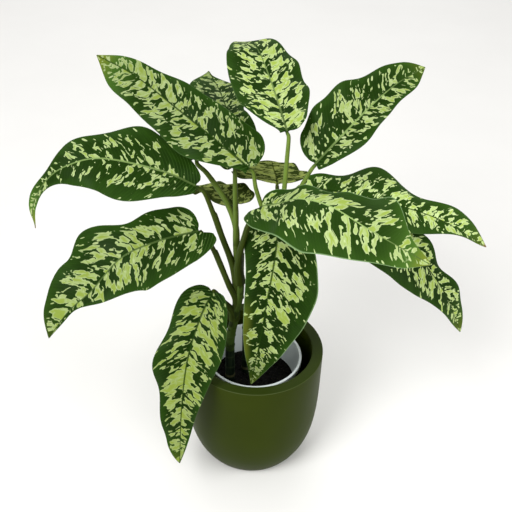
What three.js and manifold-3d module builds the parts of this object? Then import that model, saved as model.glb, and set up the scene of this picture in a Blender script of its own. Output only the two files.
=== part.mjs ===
// A potted dieffenbachia: two canes with fourteen variegated leaves, in a white nursery pot
// that stands inside a round green cachepot.
// Millimetres, +Z up. The origin is the centre of the cachepot's flat foot, and the viewer is on the -Y side.

import * as THREE from "three";
import { mergeVertices } from "three/addons/utils/BufferGeometryUtils.js";
import Module from "manifold-3d";

const wasm = await Module();
wasm.setup();

// Cachepot
const CACHEPOT_HEIGHT = 205;
const CACHEPOT_RIM_RADIUS = 108;
const CACHEPOT_FOOT_RADIUS = 68;
const CACHEPOT_BELLY_RADIUS = 76;
const CACHEPOT_BELLY_POWER = 5;
const CACHEPOT_RIM_BAND = 17;
const CACHEPOT_WALL = 10;
const CACHEPOT_RIM_DEPTH = 18;
const CACHEPOT_FLOOR_CORNER = 8;
const CACHEPOT_FLOOR = 14;
const CACHEPOT_EDGE = 1.6;
const CACHEPOT_OUTER_LEVELS = [3, 8, 16, 27, 42, 62, 90, 125, 165];
const CACHEPOT_INNER_LEVELS = [170, 110, 70, 45, 28];
const POT_SIDES = 40;

// Nursery pot
const NURSERY_RIM_RADIUS = 75.6;
const NURSERY_RIM_TOP = 188;
const NURSERY_FOOT_RADIUS = 52;
const NURSERY_WALL = 1.6;
const NURSERY_LIP = 2.4;
const NURSERY_LIP_HEIGHT = 9;
const NURSERY_EDGE = 0.8;

// Soil
const SOIL_TOP = 138;
const SOIL_LUMP = 2.2;
const SOIL_RINGS = 5;
const SOIL_LUMPY_SHARE = 0.95;
const CANE_HOLE_DEPTH = 55;
const CANE_HOLE_SIDES = 20;

// Gap between pieces that touch
const GAP = 0.3;

// Canes
const CANE_SIDES = 12;
const CANE_STEPS_PER_POINT = 4;
const NODE_RING = 0.9;
const NODE_SPACING = 21;
const RINGED_FROM = 140;
const RINGED_TO = 235;

// Petioles
const PETIOLE_SIDES = 8;
const PETIOLE_STEPS = 12;
const PETIOLE_CROWDING = 1.35;
const PETIOLE_RADIUS = 4;
const SHEATH_RADIUS = 8;
const SHEATH_SHARE = 0.6;
const PETIOLE_END_RADIUS = 2.8;
const PETIOLE_TURN = 8;
const PETIOLE_UNDERLAP = 3;
const PETIOLE_GAP = 0.85;

// Leaf blades
const BLADE_ROWS = 17;
const ROW_POWER = 1.4;
const BLADE_THICKNESS = 1;
const BLADE_COLUMNS = [0, 0.33, 0.68, 1];
const WIDTH_STATIONS = [0.1, 0.3, 0.5, 0.7, 0.88];
const BASE_STATION = -0.1;
const BASE_NARROWING = 0.15;
const FRAME_STEP = 0.004;
const ROOT_HALF_WIDTH = 9.5;
const TIP_HALF_WIDTH = 0.5;
const RIB_HALF_WIDTH = 2.4;
const RIB_DEPTH = 2.6;
const TIP_RIB_HALF_WIDTH = 0.4;
const MAX_RIB_SHARE = 0.6;
const LOBE_LENGTH = 0.25;
const LOBE_START = 0.3;
const LOBE_LEVEL = 0.7;
const LOBE_TUCK = 0.35;
const LOBE_TUCK_LENGTH = 0.01;
const CURL_REFERENCE = 50;
const WAVE_POWER = 2.2;
const WAVE_FADE = 0.7;
const WAVE_LAG = 1.7;

// Colours
const GLAZE_GREEN = 0x3f4a2b;
const POT_WHITE = 0xdfe4e6;
const PEAT = 0x1d1714;
const CANE_GREEN = 0x55702f;
const CANE_DARK = 0x3f4d22;
const LEAF_GREEN = 0x4d7a3c;
const LEAF_SHADED = 0x5c6f3a;

// Each leaf: rib is the midrib from base to tip, and facing the way that its upper side looks at evenly
// spaced places along the rib. right and left are half widths at WIDTH_STATIONS, seen from the base with the
// upper side up. fold (at base, middle and tip) and curl are in degrees: fold lifts each half from the
// midrib, and curl bends it down again towards the margin. wave is the margin's rise and fall in mm, its
// number of waves and their phase, scallop the same waves in the outline, and lobe how far each side reaches
// back beside the petiole. petiole runs from inside the cane to the leaf.
const LEAVES = [
  {
    name: "leaf_01_top_left",
    cane: 2,
    rib: [[-17, 0, 523], [-59, 18, 550], [-119, 45, 586], [-176, 62, 623], [-224, 62, 649]],
    facing: [[0.1, -0.75, 0.6], [0.1, -0.8, 0.55]],
    left: [19, 44, 42, 37, 29],
    right: [46, 42, 37, 24, 14],
    fold: [12, 12, 12],
    curl: [30, 30],
    wave: [4, 4, 0],
    scallop: [0, 0],
    lobe: [2, 8],
    petiole: [[22, 12, 372], [12, 7, 428], [3, 4, 458], [-7, 2, 491]],
  },
  {
    name: "leaf_02_left",
    cane: 1,
    rib: [[-89, 0, 492], [-135, -8, 518], [-210, -20, 540], [-257, -28, 531], [-288, -30, 506],
      [-308, -32, 468], [-308, -35, 435]],
    facing: [[0, -0.6, 0.8], [0, -0.6, 0.8], [0, -0.6, 0.8], [-0.5, -0.6, 0.5]],
    left: [30, 52, 44, 14, 5],
    right: [35, 56, 34, 15, 5],
    fold: [12, 5, 5],
    curl: [25, 25],
    wave: [3.4, 3.4, 2],
    scallop: [0, 3],
    lobe: [1, 5],
    petiole: [[-27, 0, 300], [-31, 0, 333], [-38, 1, 365], [-54, 2, 411], [-66, 2, 449], [-77, 1, 480]],
  },
  {
    name: "leaf_03_lower_left",
    cane: 1,
    rib: [[-84, -19, 431], [-139, -40, 425], [-187, -62, 410], [-228, -82, 366], [-259, -95, 339],
      [-289, -105, 297]],
    facing: [[0, -0.6, 0.8], [-0.1, -0.7, 0.7], [-0.3, -0.8, 0.4]],
    left: [42, 58, 47, 13, 3],
    right: [44, 41, 65, 53, 33],
    fold: [12, 12, 12],
    curl: [25, 25],
    wave: [1.5, 3.9, 2.6],
    scallop: [2.4, 4.5],
    lobe: [28, 4],
    petiole: [[-31, -3, 262], [-30, -4, 298], [-41, -8, 329], [-54, -13, 369], [-66, -17, 403]],
  },
  {
    name: "leaf_04_in_front_of_pot",
    cane: 1,
    rib: [[-63, -31, 333], [-79, -60, 310], [-95, -95, 261], [-103, -120, 187], [-106, -140, 87]],
    facing: [[0, -0.8, 0.6], [0, -0.9, 0.4]],
    left: [36, 49, 36, 21, 10],
    right: [37, 42, 44, 26, 21],
    fold: [12, 12, 12],
    curl: [25, 25],
    wave: [7, 3.2, 6.1],
    scallop: [-1, 4],
    lobe: [4, 5],
    petiole: [[-33, -4, 262], [-36, -5, 278], [-43, -8, 291], [-51, -13, 304], [-58, -17, 318]],
  },
  {
    name: "leaf_05_over_soil",
    cane: 2,
    rib: [[27, -15, 448], [23, -33, 392], [15, -50, 332], [8, -58, 268], [-3, -55, 175]],
    facing: [[-0.15, -0.9, 0.5], [-0.15, -1, 0.2]],
    left: [50, 68, 62, 39, 17],
    right: [50, 38, 31, 24, 9],
    fold: [5, 5, 5],
    curl: [15, 25],
    wave: [4.3, 4, 0],
    scallop: [-0.8, -0.8],
    lobe: [6, 8],
    petiole: [[20, 12, 365], [25, 8, 410], [28, 2, 446]],
  },
  {
    name: "leaf_06_right_large",
    cane: 1,
    rib: [[2, -40, 489], [24, -56, 504], [50, -80, 527], [88, -110, 535], [137, -135, 518],
      [212, -150, 482]],
    facing: [[0, -0.4, 0.92], [0.1, -0.3, 0.95], [0.3, -0.6, 0.7]],
    left: [27, 26, 44, 70, 19],
    right: [45, 66, 69, 41, 23],
    fold: [10, -10, 6],
    curl: [10, 10],
    wave: [4, 4, 0],
    scallop: [1, 1],
    lobe: [4, 28],
    petiole: [[-26, 0, 330], [-28, -5, 362], [-26, -13, 392], [-21, -21, 422], [-14, -28, 452]],
  },
  {
    name: "leaf_07_right_upper",
    cane: 2,
    rib: [[63, 40, 475], [127, 40, 465], [195, 40, 450], [262, 30, 433], [330, 15, 400]],
    facing: [[0, -0.5, 0.85], [0.1, -0.4, 0.9], [0.3, -0.4, 0.8]],
    left: [26, 47, 52, 19, 32],
    right: [36, 46, 43, 27, 8],
    fold: [10, 5, 10],
    curl: [25, 25],
    wave: [8.2, 2.7, 6.2],
    scallop: [8, 2],
    lobe: [6, 6],
    petiole: [[24, 13, 380], [32, 20, 425], [43, 30, 456]],
  },
  {
    name: "leaf_08_right_drooping",
    cane: 2,
    rib: [[115, 5, 429], [175, 0, 418], [229, -5, 391], [278, -10, 330], [311, -15, 263]],
    facing: [[0.1, -0.5, 0.85], [0.4, -0.5, 0.7], [0.6, -0.6, 0.4]],
    left: [26, 42, 27, 23, 24],
    right: [36, 50, 52, 31, 14],
    fold: [10, 10, 10],
    curl: [25, 25],
    wave: [4.2, 3.6, 2],
    scallop: [3.7, 1.6],
    lobe: [6, 6],
    petiole: [[24, 12, 375], [45, 10, 408], [75, 7, 427]],
  },
  {
    name: "leaf_09_top_right",
    cane: 2,
    rib: [[72, 10, 528], [108, 30, 564], [143, 55, 594], [179, 80, 618], [218, 100, 635]],
    facing: [[-0.3, -0.8, 0.6], [0, -0.7, 0.7]],
    left: [44, 55, 50, 32, 22],
    right: [20, 32, 28, 23, 18],
    fold: [18, 18, 12],
    curl: [25, 25],
    wave: [4, 4, 0],
    scallop: [1, 1],
    lobe: [3, 4],
    petiole: [[26, 12, 390], [38, 11, 432], [48, 10, 469], [58, 10, 498]],
  },
  {
    name: "leaf_10_top_centre",
    cane: 2,
    rib: [[31, 0, 581], [21, 40, 594], [6, 90, 615], [-15, 140, 639], [-41, 175, 632]],
    facing: [[0, -0.7, 0.7], [0, -0.3, 0.9], [0, 0.2, 0.9]],
    left: [22, 48, 54, 50, 33],
    right: [31, 45, 46, 41, 22],
    fold: [10, 10, 10],
    curl: [25, 25],
    wave: [4, 4, 0],
    scallop: [1, 1],
    lobe: [3, 3],
    petiole: [[26, 12, 385], [30, 8, 445], [32, 3, 489], [33, -4, 540]],
  },
  {
    name: "leaf_11_back_top",
    cane: 1,
    rib: [[-38, 45, 498], [-42, 80, 523], [-52, 125, 541], [-68, 180, 553], [-88, 235, 560]],
    facing: [[0, -0.5, 0.85], [0, -0.1, 1]],
    left: [30, 46, 34, 50, 30],
    right: [26, 34, 24, 42, 4],
    fold: [10, 10, 10],
    curl: [25, 25],
    wave: [6, 3.7, -1],
    scallop: [4, -2],
    lobe: [6, 6],
    petiole: [[-26, 0, 335], [-30, 3, 364], [-33, 10, 398], [-34, 18, 434], [-36, 28, 463]],
  },
  {
    name: "leaf_12_back_centre",
    cane: 2,
    shaded: true,
    rib: [[23, 40, 478], [22, 90, 461], [19, 140, 444], [17, 190, 427], [17, 245, 401]],
    facing: [[0, 0.3, 1], [0, 0.5, 0.85]],
    left: [40, 65, 60, 46, 26],
    right: [36, 50, 48, 38, 22],
    fold: [10, 5, 0],
    curl: [15, 20],
    wave: [5, 3, 0],
    scallop: [0, 0],
    lobe: [8, 8],
    petiole: [[25, 13, 390], [28, 16, 425], [25, 22, 450]],
  },
  {
    name: "leaf_13_back_left",
    cane: 1,
    shaded: true,
    rib: [[-39, 50, 435], [-58, 85, 433], [-86, 125, 416], [-120, 162, 391], [-156, 188, 364]],
    facing: [[-0.2, 0.42, 0.95], [-0.3, 0.5, 0.9]],
    left: [24, 28, 28, 24, 14],
    right: [42, 52, 42, 34, 18],
    fold: [6, 5, 0],
    curl: [20, 20],
    wave: [4, 4, 0],
    scallop: [0, 0],
    lobe: [6, 10],
    petiole: [[-27, 2, 360], [-32, 14, 393], [-35, 30, 418]],
  },
  {
    name: "leaf_14_back_hidden",
    cane: 1,
    rib: [[-95, 75, 494], [-107, 110, 504], [-119, 150, 513], [-135, 190, 520], [-154, 220, 522]],
    facing: [[0, -0.5, 0.85], [0, -0.1, 1]],
    left: [28, 40, 38, 28, 15],
    right: [28, 40, 38, 28, 15],
    fold: [10, 10, 10],
    curl: [25, 25],
    wave: [4, 4, 0],
    scallop: [0, 0],
    lobe: [6, 6],
    petiole: [[-32, 8, 390], [-34, 16, 418], [-46, 28, 446], [-60, 40, 463], [-78, 56, 480]],
  },
];

// Each cane: its axis, its radius at the foot and at the top. The first point stands in the soil's hole.
const CANES = [
  {
    name: "stem_1",
    axis: [[-37, -5, 90], [-37, -5, 143], [-38, -5, 199], [-37, -5, 230], [-31, -4, 269], [-27, -3, 298],
      [-25, -2, 320], [-26, 0, 352], [-26, 2, 380]],
    foot: 8.8,
    top: 7,
  },
  {
    name: "stem_2",
    axis: [[-12, 14, 90], [-12, 14, 161], [-13, 13, 242], [-11, 12, 281], [2, 12, 316], [19, 12, 358],
      [25, 12, 382], [26, 12, 399]],
    foot: 8,
    top: 7,
  },
];

const vector = (p) => new THREE.Vector3(...p);
const radians = THREE.MathUtils.degToRad;
const clamp = THREE.MathUtils.clamp;

// Value at s of a line through evenly spaced values
function along(values, s) {
  const place = clamp(s, 0, 1) * (values.length - 1);
  const index = Math.min(Math.floor(place), values.length - 2);
  return values[index] + (values[index + 1] - values[index]) * (place - index);
}

function curveThrough(points) {
  const curve = new THREE.CatmullRomCurve3(points.map(vector), false, "catmullrom", 0.5);
  curve.arcLengthDivisions = 400;
  return curve;
}

// A closed geometry from a list of points and a list of triangles
function geometryFrom(points, triangles) {
  const geometry = new THREE.BufferGeometry();
  geometry.setAttribute("position", new THREE.Float32BufferAttribute(points.flatMap((p) => p.toArray()), 3));
  geometry.setIndex(triangles.flat());
  return geometry;
}

// A closed solid of revolution, from a profile of [radius, z] that starts and ends on the axis
function revolved(profile) {
  const geometry = new THREE.LatheGeometry(profile.map(([r, z]) => new THREE.Vector2(r, z)), POT_SIDES);
  return geometry.rotateX(Math.PI / 2);
}

function toManifold(geometry) {
  const bare = geometry.clone();
  bare.deleteAttribute("normal");
  bare.deleteAttribute("uv");
  const merged = mergeVertices(bare, 1e-4);
  return new wasm.Manifold(new wasm.Mesh({
    numProp: 3,
    vertProperties: new Float32Array(merged.attributes.position.array),
    triVerts: new Uint32Array(merged.index.array),
  }));
}

function toGeometry(solid) {
  const mesh = solid.getMesh();
  const geometry = new THREE.BufferGeometry();
  geometry.setAttribute("position", new THREE.Float32BufferAttribute(mesh.vertProperties, 3));
  geometry.setIndex(new THREE.Uint32BufferAttribute(mesh.triVerts, 1));
  return geometry;
}

// Frames that turn as little as they can along a curve
function framesAlong(curve, steps, shareOf) {
  const frames = [];
  let normal = new THREE.Vector3(1, 0, 0);
  for (let i = 0; i <= steps; i += 1) {
    const tangent = curve.getTangentAt(shareOf(i));
    normal = normal.clone().addScaledVector(tangent, -normal.dot(tangent)).normalize();
    frames.push({ normal, binormal: tangent.clone().cross(normal) });
  }
  return frames;
}

// A round bar along a curve, with its radius given by a function of the share of its length. crowding above 1
// sets its rings closer together towards the end.
function bar(points, radiusAt, sides, steps, crowding = 1) {
  const curve = curveThrough(points);
  const shareOf = (i) => 1 - (1 - i / steps) ** crowding;
  const frames = framesAlong(curve, steps, shareOf);
  const ring = [];
  for (let i = 0; i <= steps; i += 1) {
    const centre = curve.getPointAt(shareOf(i));
    const radius = radiusAt(shareOf(i), centre);
    for (let j = 0; j < sides; j += 1) {
      const angle = (2 * Math.PI * j) / sides;
      ring.push(centre.clone()
        .addScaledVector(frames[i].normal, radius * Math.cos(angle))
        .addScaledVector(frames[i].binormal, radius * Math.sin(angle)));
    }
  }
  const triangles = [];
  for (let i = 0; i < steps; i += 1) {
    for (let j = 0; j < sides; j += 1) {
      const a = i * sides + j;
      const b = i * sides + ((j + 1) % sides);
      triangles.push([a, b, b + sides], [a, b + sides, a + sides]);
    }
  }
  for (let j = 1; j < sides - 1; j += 1) {
    const last = steps * sides;
    triangles.push([0, j + 1, j], [last, last + j, last + j + 1]);
  }
  return geometryFrom(ring, triangles);
}

// Cachepot: rounded in towards its foot, with a flat band at the rim
function outerRadius(z) {
  const share = clamp(z / CACHEPOT_HEIGHT, 0, 1);
  const swell = 1 - (1 - share) ** CACHEPOT_BELLY_POWER;
  return CACHEPOT_BELLY_RADIUS + (CACHEPOT_RIM_RADIUS - CACHEPOT_BELLY_RADIUS) * swell;
}

function cachepotGeometry() {
  const mouth = CACHEPOT_RIM_RADIUS - CACHEPOT_RIM_BAND;
  const outside = [[0, 0], [CACHEPOT_FOOT_RADIUS, 0]];
  for (const z of CACHEPOT_OUTER_LEVELS) {
    outside.push([outerRadius(z), z]);
  }
  const rim = [
    [CACHEPOT_RIM_RADIUS, CACHEPOT_HEIGHT - CACHEPOT_EDGE],
    [CACHEPOT_RIM_RADIUS - CACHEPOT_EDGE, CACHEPOT_HEIGHT],
    [mouth + CACHEPOT_EDGE, CACHEPOT_HEIGHT],
    [mouth, CACHEPOT_HEIGHT - CACHEPOT_EDGE],
  ];
  const inside = [[mouth, CACHEPOT_HEIGHT - CACHEPOT_RIM_DEPTH]];
  for (const z of CACHEPOT_INNER_LEVELS) {
    inside.push([outerRadius(z) - CACHEPOT_WALL, z]);
  }
  const corner = outerRadius(CACHEPOT_FLOOR) - CACHEPOT_WALL - CACHEPOT_FLOOR_CORNER;
  inside.push([corner, CACHEPOT_FLOOR], [0, CACHEPOT_FLOOR]);
  return revolved([...outside, ...rim, ...inside]);
}

// Nursery pot: a thin tapered cup with a small outward lip
const nurseryFoot = CACHEPOT_FLOOR + GAP;

function nurseryRadius(z) {
  const share = (z - nurseryFoot) / (NURSERY_RIM_TOP - nurseryFoot);
  const top = NURSERY_RIM_RADIUS - NURSERY_LIP;
  return NURSERY_FOOT_RADIUS + (top - NURSERY_FOOT_RADIUS) * share;
}

function nurseryPotGeometry() {
  const lipFoot = NURSERY_RIM_TOP - NURSERY_LIP_HEIGHT;
  const floorTop = nurseryFoot + NURSERY_WALL;
  return revolved([
    [0, nurseryFoot],
    [NURSERY_FOOT_RADIUS, nurseryFoot],
    [nurseryRadius(lipFoot), lipFoot],
    [NURSERY_RIM_RADIUS, lipFoot + NURSERY_EDGE],
    [NURSERY_RIM_RADIUS, NURSERY_RIM_TOP - NURSERY_EDGE],
    [NURSERY_RIM_RADIUS - NURSERY_EDGE, NURSERY_RIM_TOP],
    [nurseryRadius(NURSERY_RIM_TOP) - NURSERY_WALL, NURSERY_RIM_TOP],
    [nurseryRadius(floorTop) - NURSERY_WALL, floorTop],
    [0, floorTop],
  ]);
}

// Soil: fills the nursery pot, lumpy on top, with a plain hole for each cane
function soilLump(x, y) {
  const coarse = Math.sin(0.11 * x + 0.8) * Math.cos(0.13 * y - 0.4);
  const fine = Math.sin(0.27 * x - 0.19 * y + 1.7);
  return SOIL_LUMP * (0.7 * coarse + 0.4 * fine);
}

function soilGeometry() {
  const foot = nurseryFoot + NURSERY_WALL + GAP;
  const wallRadius = (z) => nurseryRadius(z) - NURSERY_WALL - GAP;
  const profile = [[0, foot], [wallRadius(foot), foot], [wallRadius(SOIL_TOP), SOIL_TOP]];
  for (let i = SOIL_RINGS - 1; i >= 0; i -= 1) {
    profile.push([(wallRadius(SOIL_TOP) * i) / SOIL_RINGS, SOIL_TOP]);
  }
  const body = revolved(profile);
  const position = body.attributes.position;
  for (let i = 0; i < position.count; i += 1) {
    const x = position.getX(i);
    const y = position.getY(i);
    const inner = Math.hypot(x, y) < SOIL_LUMPY_SHARE * wallRadius(SOIL_TOP);
    if (position.getZ(i) === SOIL_TOP && inner) {
      position.setZ(i, SOIL_TOP + soilLump(x, y));
    }
  }
  let solid = toManifold(body);
  for (const cane of CANES) {
    const [x, y, z] = cane.axis[0];
    const radius = cane.foot + GAP;
    const hole = new THREE.CylinderGeometry(radius, radius, 2 * CANE_HOLE_DEPTH, CANE_HOLE_SIDES);
    hole.rotateX(Math.PI / 2).translate(x, y, z - GAP + CANE_HOLE_DEPTH);
    solid = solid.subtract(toManifold(hole));
  }
  return toGeometry(solid);
}

// Cane: ringed with old leaf scars low down, smooth above
function caneGeometry(cane) {
  const radiusAt = (share, centre) => {
    const radius = cane.foot + (cane.top - cane.foot) * share;
    const ringed = centre.z > RINGED_FROM && centre.z < RINGED_TO;
    const ring = 0.5 + 0.5 * Math.cos((2 * Math.PI * centre.z) / NODE_SPACING);
    return radius - (ringed ? NODE_RING * (1 - ring) : NODE_RING);
  };
  return bar(cane.axis, radiusAt, CANE_SIDES, CANE_STEPS_PER_POINT * cane.axis.length);
}

// Petiole: a sheath where it leaves the cane, slimmer towards the leaf, ending just under the blade's midrib
function petioleGeometry(leaf) {
  const { centre, direction, up } = bladeFrame(leaf, curveThrough(leaf.rib), 0);
  const depth = BLADE_THICKNESS + RIB_DEPTH + PETIOLE_GAP + PETIOLE_END_RADIUS;
  const under = (distance) => centre.clone()
    .addScaledVector(direction, distance)
    .addScaledVector(up, -depth)
    .toArray();
  const path = [...leaf.petiole, under(-PETIOLE_TURN), under(PETIOLE_UNDERLAP)];
  const radiusAt = (share) => {
    const slim = Math.min(share / SHEATH_SHARE, 1);
    const sheath = SHEATH_RADIUS + (PETIOLE_RADIUS - SHEATH_RADIUS) * slim * (2 - slim);
    const taper = Math.max(share - SHEATH_SHARE, 0) / (1 - SHEATH_SHARE);
    return sheath + (PETIOLE_END_RADIUS - PETIOLE_RADIUS) * taper;
  };
  return bar(path, radiusAt, PETIOLE_SIDES, PETIOLE_STEPS, PETIOLE_CROWDING);
}

function stemGeometry(cane, number) {
  let solid = toManifold(caneGeometry(cane));
  for (const leaf of LEAVES.filter((l) => l.cane === number)) {
    solid = solid.add(toManifold(petioleGeometry(leaf)));
  }
  return toGeometry(solid);
}

// Half width of a blade at s: a smooth line through the widths at the stations, round at the base and
// running out to the tip
function halfWidth(widths, s) {
  const first = (2 - BASE_NARROWING) * widths[0] - widths[1];
  const places = [BASE_STATION, ...WIDTH_STATIONS, 1];
  const values = [first, ...widths, 0];
  const last = places.length - 1;
  const slope = (i) => {
    const before = Math.max(i - 1, 0);
    const after = Math.min(i + 1, last);
    return (values[after] - values[before]) / (places[after] - places[before]);
  };
  let i = 0;
  while (i < last - 1 && s >= places[i + 1]) {
    i += 1;
  }
  const step = places[i + 1] - places[i];
  const f = (s - places[i]) / step;
  const width = values[i] * (1 + 2 * f) * (1 - f) ** 2 + step * slope(i) * f * (1 - f) ** 2
    + values[i + 1] * f * f * (3 - 2 * f) + step * slope(i + 1) * f * f * (f - 1);
  const root = ROOT_HALF_WIDTH * (1 - s) ** 2;
  const round = Math.sqrt(1 - (1 - Math.min(s / WIDTH_STATIONS[0], 1)) ** 2);
  return TIP_HALF_WIDTH + root + Math.max(width - root, 0) * round;
}

// The blade's frame at s: centre, direction along the rib, upper side and sideways to the right
function bladeFrame(leaf, curve, s) {
  const centre = curve.getPointAt(s);
  const ahead = curve.getPointAt(Math.min(s + FRAME_STEP, 1));
  const behind = curve.getPointAt(Math.max(s - FRAME_STEP, 0));
  const direction = ahead.sub(behind).normalize();
  const facing = leaf.facing.map((f) => vector(f).normalize());
  const up = new THREE.Vector3(
    along(facing.map((f) => f.x), s),
    along(facing.map((f) => f.y), s),
    along(facing.map((f) => f.z), s),
  );
  up.addScaledVector(direction, -up.dot(direction)).normalize();
  const sideways = direction.clone().cross(up);
  return { centre, direction, up, sideways };
}

// A point of the blade's upper surface and its normal there. side is -1 for left and 1 for right, and share
// runs from the midrib's edge, 0, to the margin, 1.
function bladePoint(leaf, frame, s, side, share) {
  const index = side < 0 ? 0 : 1;
  const [waveHeight, waveCount, wavePhase] = leaf.wave;
  const turn = 2 * Math.PI * waveCount * s + wavePhase + (side < 0 ? WAVE_LAG : 0);
  const wave = Math.sin(Math.PI * s) ** WAVE_FADE * Math.sin(turn);
  const width = halfWidth(side < 0 ? leaf.left : leaf.right, s) + leaf.scallop[index] * wave;
  const ribShare = Math.min(MAX_RIB_SHARE, ribHalfWidth(s) / width);
  const reach = ribShare + (1 - ribShare) * share;
  const fold = radians(along(leaf.fold, s));
  const bend = radians(leaf.curl[index]) / CURL_REFERENCE;
  const slope = fold - bend * reach * width;
  const across = (Math.sin(fold) - Math.sin(slope)) / bend;
  const rise = (Math.cos(slope) - Math.cos(fold)) / bend + waveHeight * wave * reach ** WAVE_POWER;
  const back = leaf.lobe[index] * lobeShape(s, reach);
  const top = frame.centre.clone()
    .addScaledVector(frame.sideways, side * across)
    .addScaledVector(frame.up, rise)
    .addScaledVector(frame.direction, -back);
  const normal = frame.up.clone().multiplyScalar(Math.cos(slope))
    .addScaledVector(frame.sideways, -side * Math.sin(slope));
  return { top, normal };
}

// Share of the lobe's length that a point reaches back: none beside the petiole, most at the lobe's round end
function lobeShape(s, reach) {
  const outer = clamp((reach - LOBE_START) / (1 - LOBE_START), 0, 1);
  const tuck = 1 - LOBE_TUCK * Math.exp(-s / LOBE_TUCK_LENGTH);
  return clamp(1 - s / LOBE_LENGTH, 0, 1) ** 2 * tuck * outer * (1 + LOBE_LEVEL - LOBE_LEVEL * outer);
}

function ribHalfWidth(s) {
  return TIP_RIB_HALF_WIDTH + (RIB_HALF_WIDTH - TIP_RIB_HALF_WIDTH) * (1 - s);
}

// A blade: a grid of upper points, and under it the same grid lowered by its thickness, deeper at the midrib
function bladeGeometry(leaf) {
  const curve = curveThrough(leaf.rib);
  const upper = [];
  const lower = [];
  for (let i = 0; i <= BLADE_ROWS; i += 1) {
    const s = (i / BLADE_ROWS) ** ROW_POWER;
    const frame = bladeFrame(leaf, curve, s);
    const half = (side) => BLADE_COLUMNS.map((share) => bladePoint(leaf, frame, s, side, share));
    const row = [...half(-1).reverse(), { top: frame.centre, normal: frame.up }, ...half(1)];
    const middle = BLADE_COLUMNS.length;
    upper.push(...row.map((p) => p.top));
    lower.push(...row.map((p, j) => {
      const depth = BLADE_THICKNESS + (j === middle ? RIB_DEPTH * (1 - s) : 0);
      return p.top.clone().addScaledVector(p.normal, -depth);
    }));
  }
  return geometryFrom([...upper, ...lower], sheetTriangles(BLADE_ROWS + 1, 2 * BLADE_COLUMNS.length + 1));
}

// Triangles of a closed sheet: an upper grid of rows by columns, the lower grid after it, and the four edges
function sheetTriangles(rows, columns) {
  const under = rows * columns;
  const triangles = [];
  const quad = (a, b, c, d) => triangles.push([a, b, c], [a, c, d]);
  for (let i = 0; i < rows - 1; i += 1) {
    for (let j = 0; j < columns - 1; j += 1) {
      const a = i * columns + j;
      const b = a + 1;
      const c = b + columns;
      const d = a + columns;
      if (j < (columns - 1) / 2) {
        quad(a, b, c, d);
        quad(under + c, under + b, under + a, under + d);
      } else {
        quad(b, c, d, a);
        quad(under + d, under + c, under + b, under + a);
      }
    }
  }
  for (let i = 0; i < rows - 1; i += 1) {
    const left = i * columns;
    const right = left + columns - 1;
    quad(left, left + columns, under + left + columns, under + left);
    quad(right + columns, right, under + right, under + right + columns);
  }
  for (let j = 0; j < columns - 1; j += 1) {
    const end = (rows - 1) * columns + j;
    quad(j + 1, j, under + j, under + j + 1);
    quad(end, end + 1, under + end + 1, under + end);
  }
  return triangles;
}

function finish(color, roughness) {
  return new THREE.MeshStandardMaterial({ color, roughness, metalness: 0 });
}

const group = new THREE.Group();

function addPiece(name, geometry, material) {
  const mesh = new THREE.Mesh(geometry, material);
  mesh.name = name;
  group.add(mesh);
}

addPiece("cachepot", cachepotGeometry(), finish(GLAZE_GREEN, 0.45));
addPiece("nursery_pot", nurseryPotGeometry(), finish(POT_WHITE, 0.5));
addPiece("soil", soilGeometry(), finish(PEAT, 1));

CANES.forEach((cane, index) => {
  addPiece(cane.name, stemGeometry(cane, index + 1), finish(index === 0 ? CANE_GREEN : CANE_DARK, 0.5));
});

for (const leaf of LEAVES) {
  addPiece(leaf.name, bladeGeometry(leaf), finish(leaf.shaded ? LEAF_SHADED : LEAF_GREEN, 0.45));
}

export default group;
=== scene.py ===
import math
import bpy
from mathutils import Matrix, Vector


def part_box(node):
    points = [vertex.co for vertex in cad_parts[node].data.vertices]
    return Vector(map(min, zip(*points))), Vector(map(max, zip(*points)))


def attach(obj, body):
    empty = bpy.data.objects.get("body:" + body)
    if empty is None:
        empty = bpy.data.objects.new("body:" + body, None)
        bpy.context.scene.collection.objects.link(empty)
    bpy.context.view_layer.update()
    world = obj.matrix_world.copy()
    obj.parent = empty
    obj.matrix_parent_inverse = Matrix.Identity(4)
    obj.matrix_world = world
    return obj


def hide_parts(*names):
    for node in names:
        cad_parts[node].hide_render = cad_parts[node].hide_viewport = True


bl_info = {
    "name": "Potted dieffenbachia",
    "version": (1, 0, 0),
    "blender": (4, 5, 0),
    "location": "View3D > Sidebar > Dieffenbachia",
    "description": "A dieffenbachia with speckled leaves on two canes, in a pot inside a round cachepot",
    "category": "Add Mesh",
}

import bpy
import numpy as np
from bpy.props import FloatProperty, FloatVectorProperty, PointerProperty
from bpy.types import Operator, Panel, PropertyGroup
from mathutils import Matrix, Vector, noise

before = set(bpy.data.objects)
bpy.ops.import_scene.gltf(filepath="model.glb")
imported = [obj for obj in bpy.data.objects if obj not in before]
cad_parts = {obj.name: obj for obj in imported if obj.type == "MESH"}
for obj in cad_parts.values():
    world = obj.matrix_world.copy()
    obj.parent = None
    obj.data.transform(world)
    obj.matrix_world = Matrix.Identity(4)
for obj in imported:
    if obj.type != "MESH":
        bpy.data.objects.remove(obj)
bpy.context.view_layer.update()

MM = 0.001
CACHEPOT_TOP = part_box("cachepot")[1]
NURSERY_FOOT, NURSERY_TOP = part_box("nursery_pot")

# What a leaf has unless it says otherwise, in millimetres and degrees: the fold along the midrib, the curl of
# each half, the wave's height, count and phase, how far the wave moves each margin, and how far each lobe
# reaches back. The sheath is a share of the usual radius, its free edge ends at the share sheath_end of the
# petiole, and hook is how far behind the blade's base the petiole turns up.
USUAL_SHAPE = {
    "fold": [10, 10, 10], "curl": [25, 25], "wave": (4, 4, 0), "scallop": (0, 0), "lobe": (6, 6),
    "sheath": 1, "sheath_end": 0, "hook": 8, "slot": "leaf",
}

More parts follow.
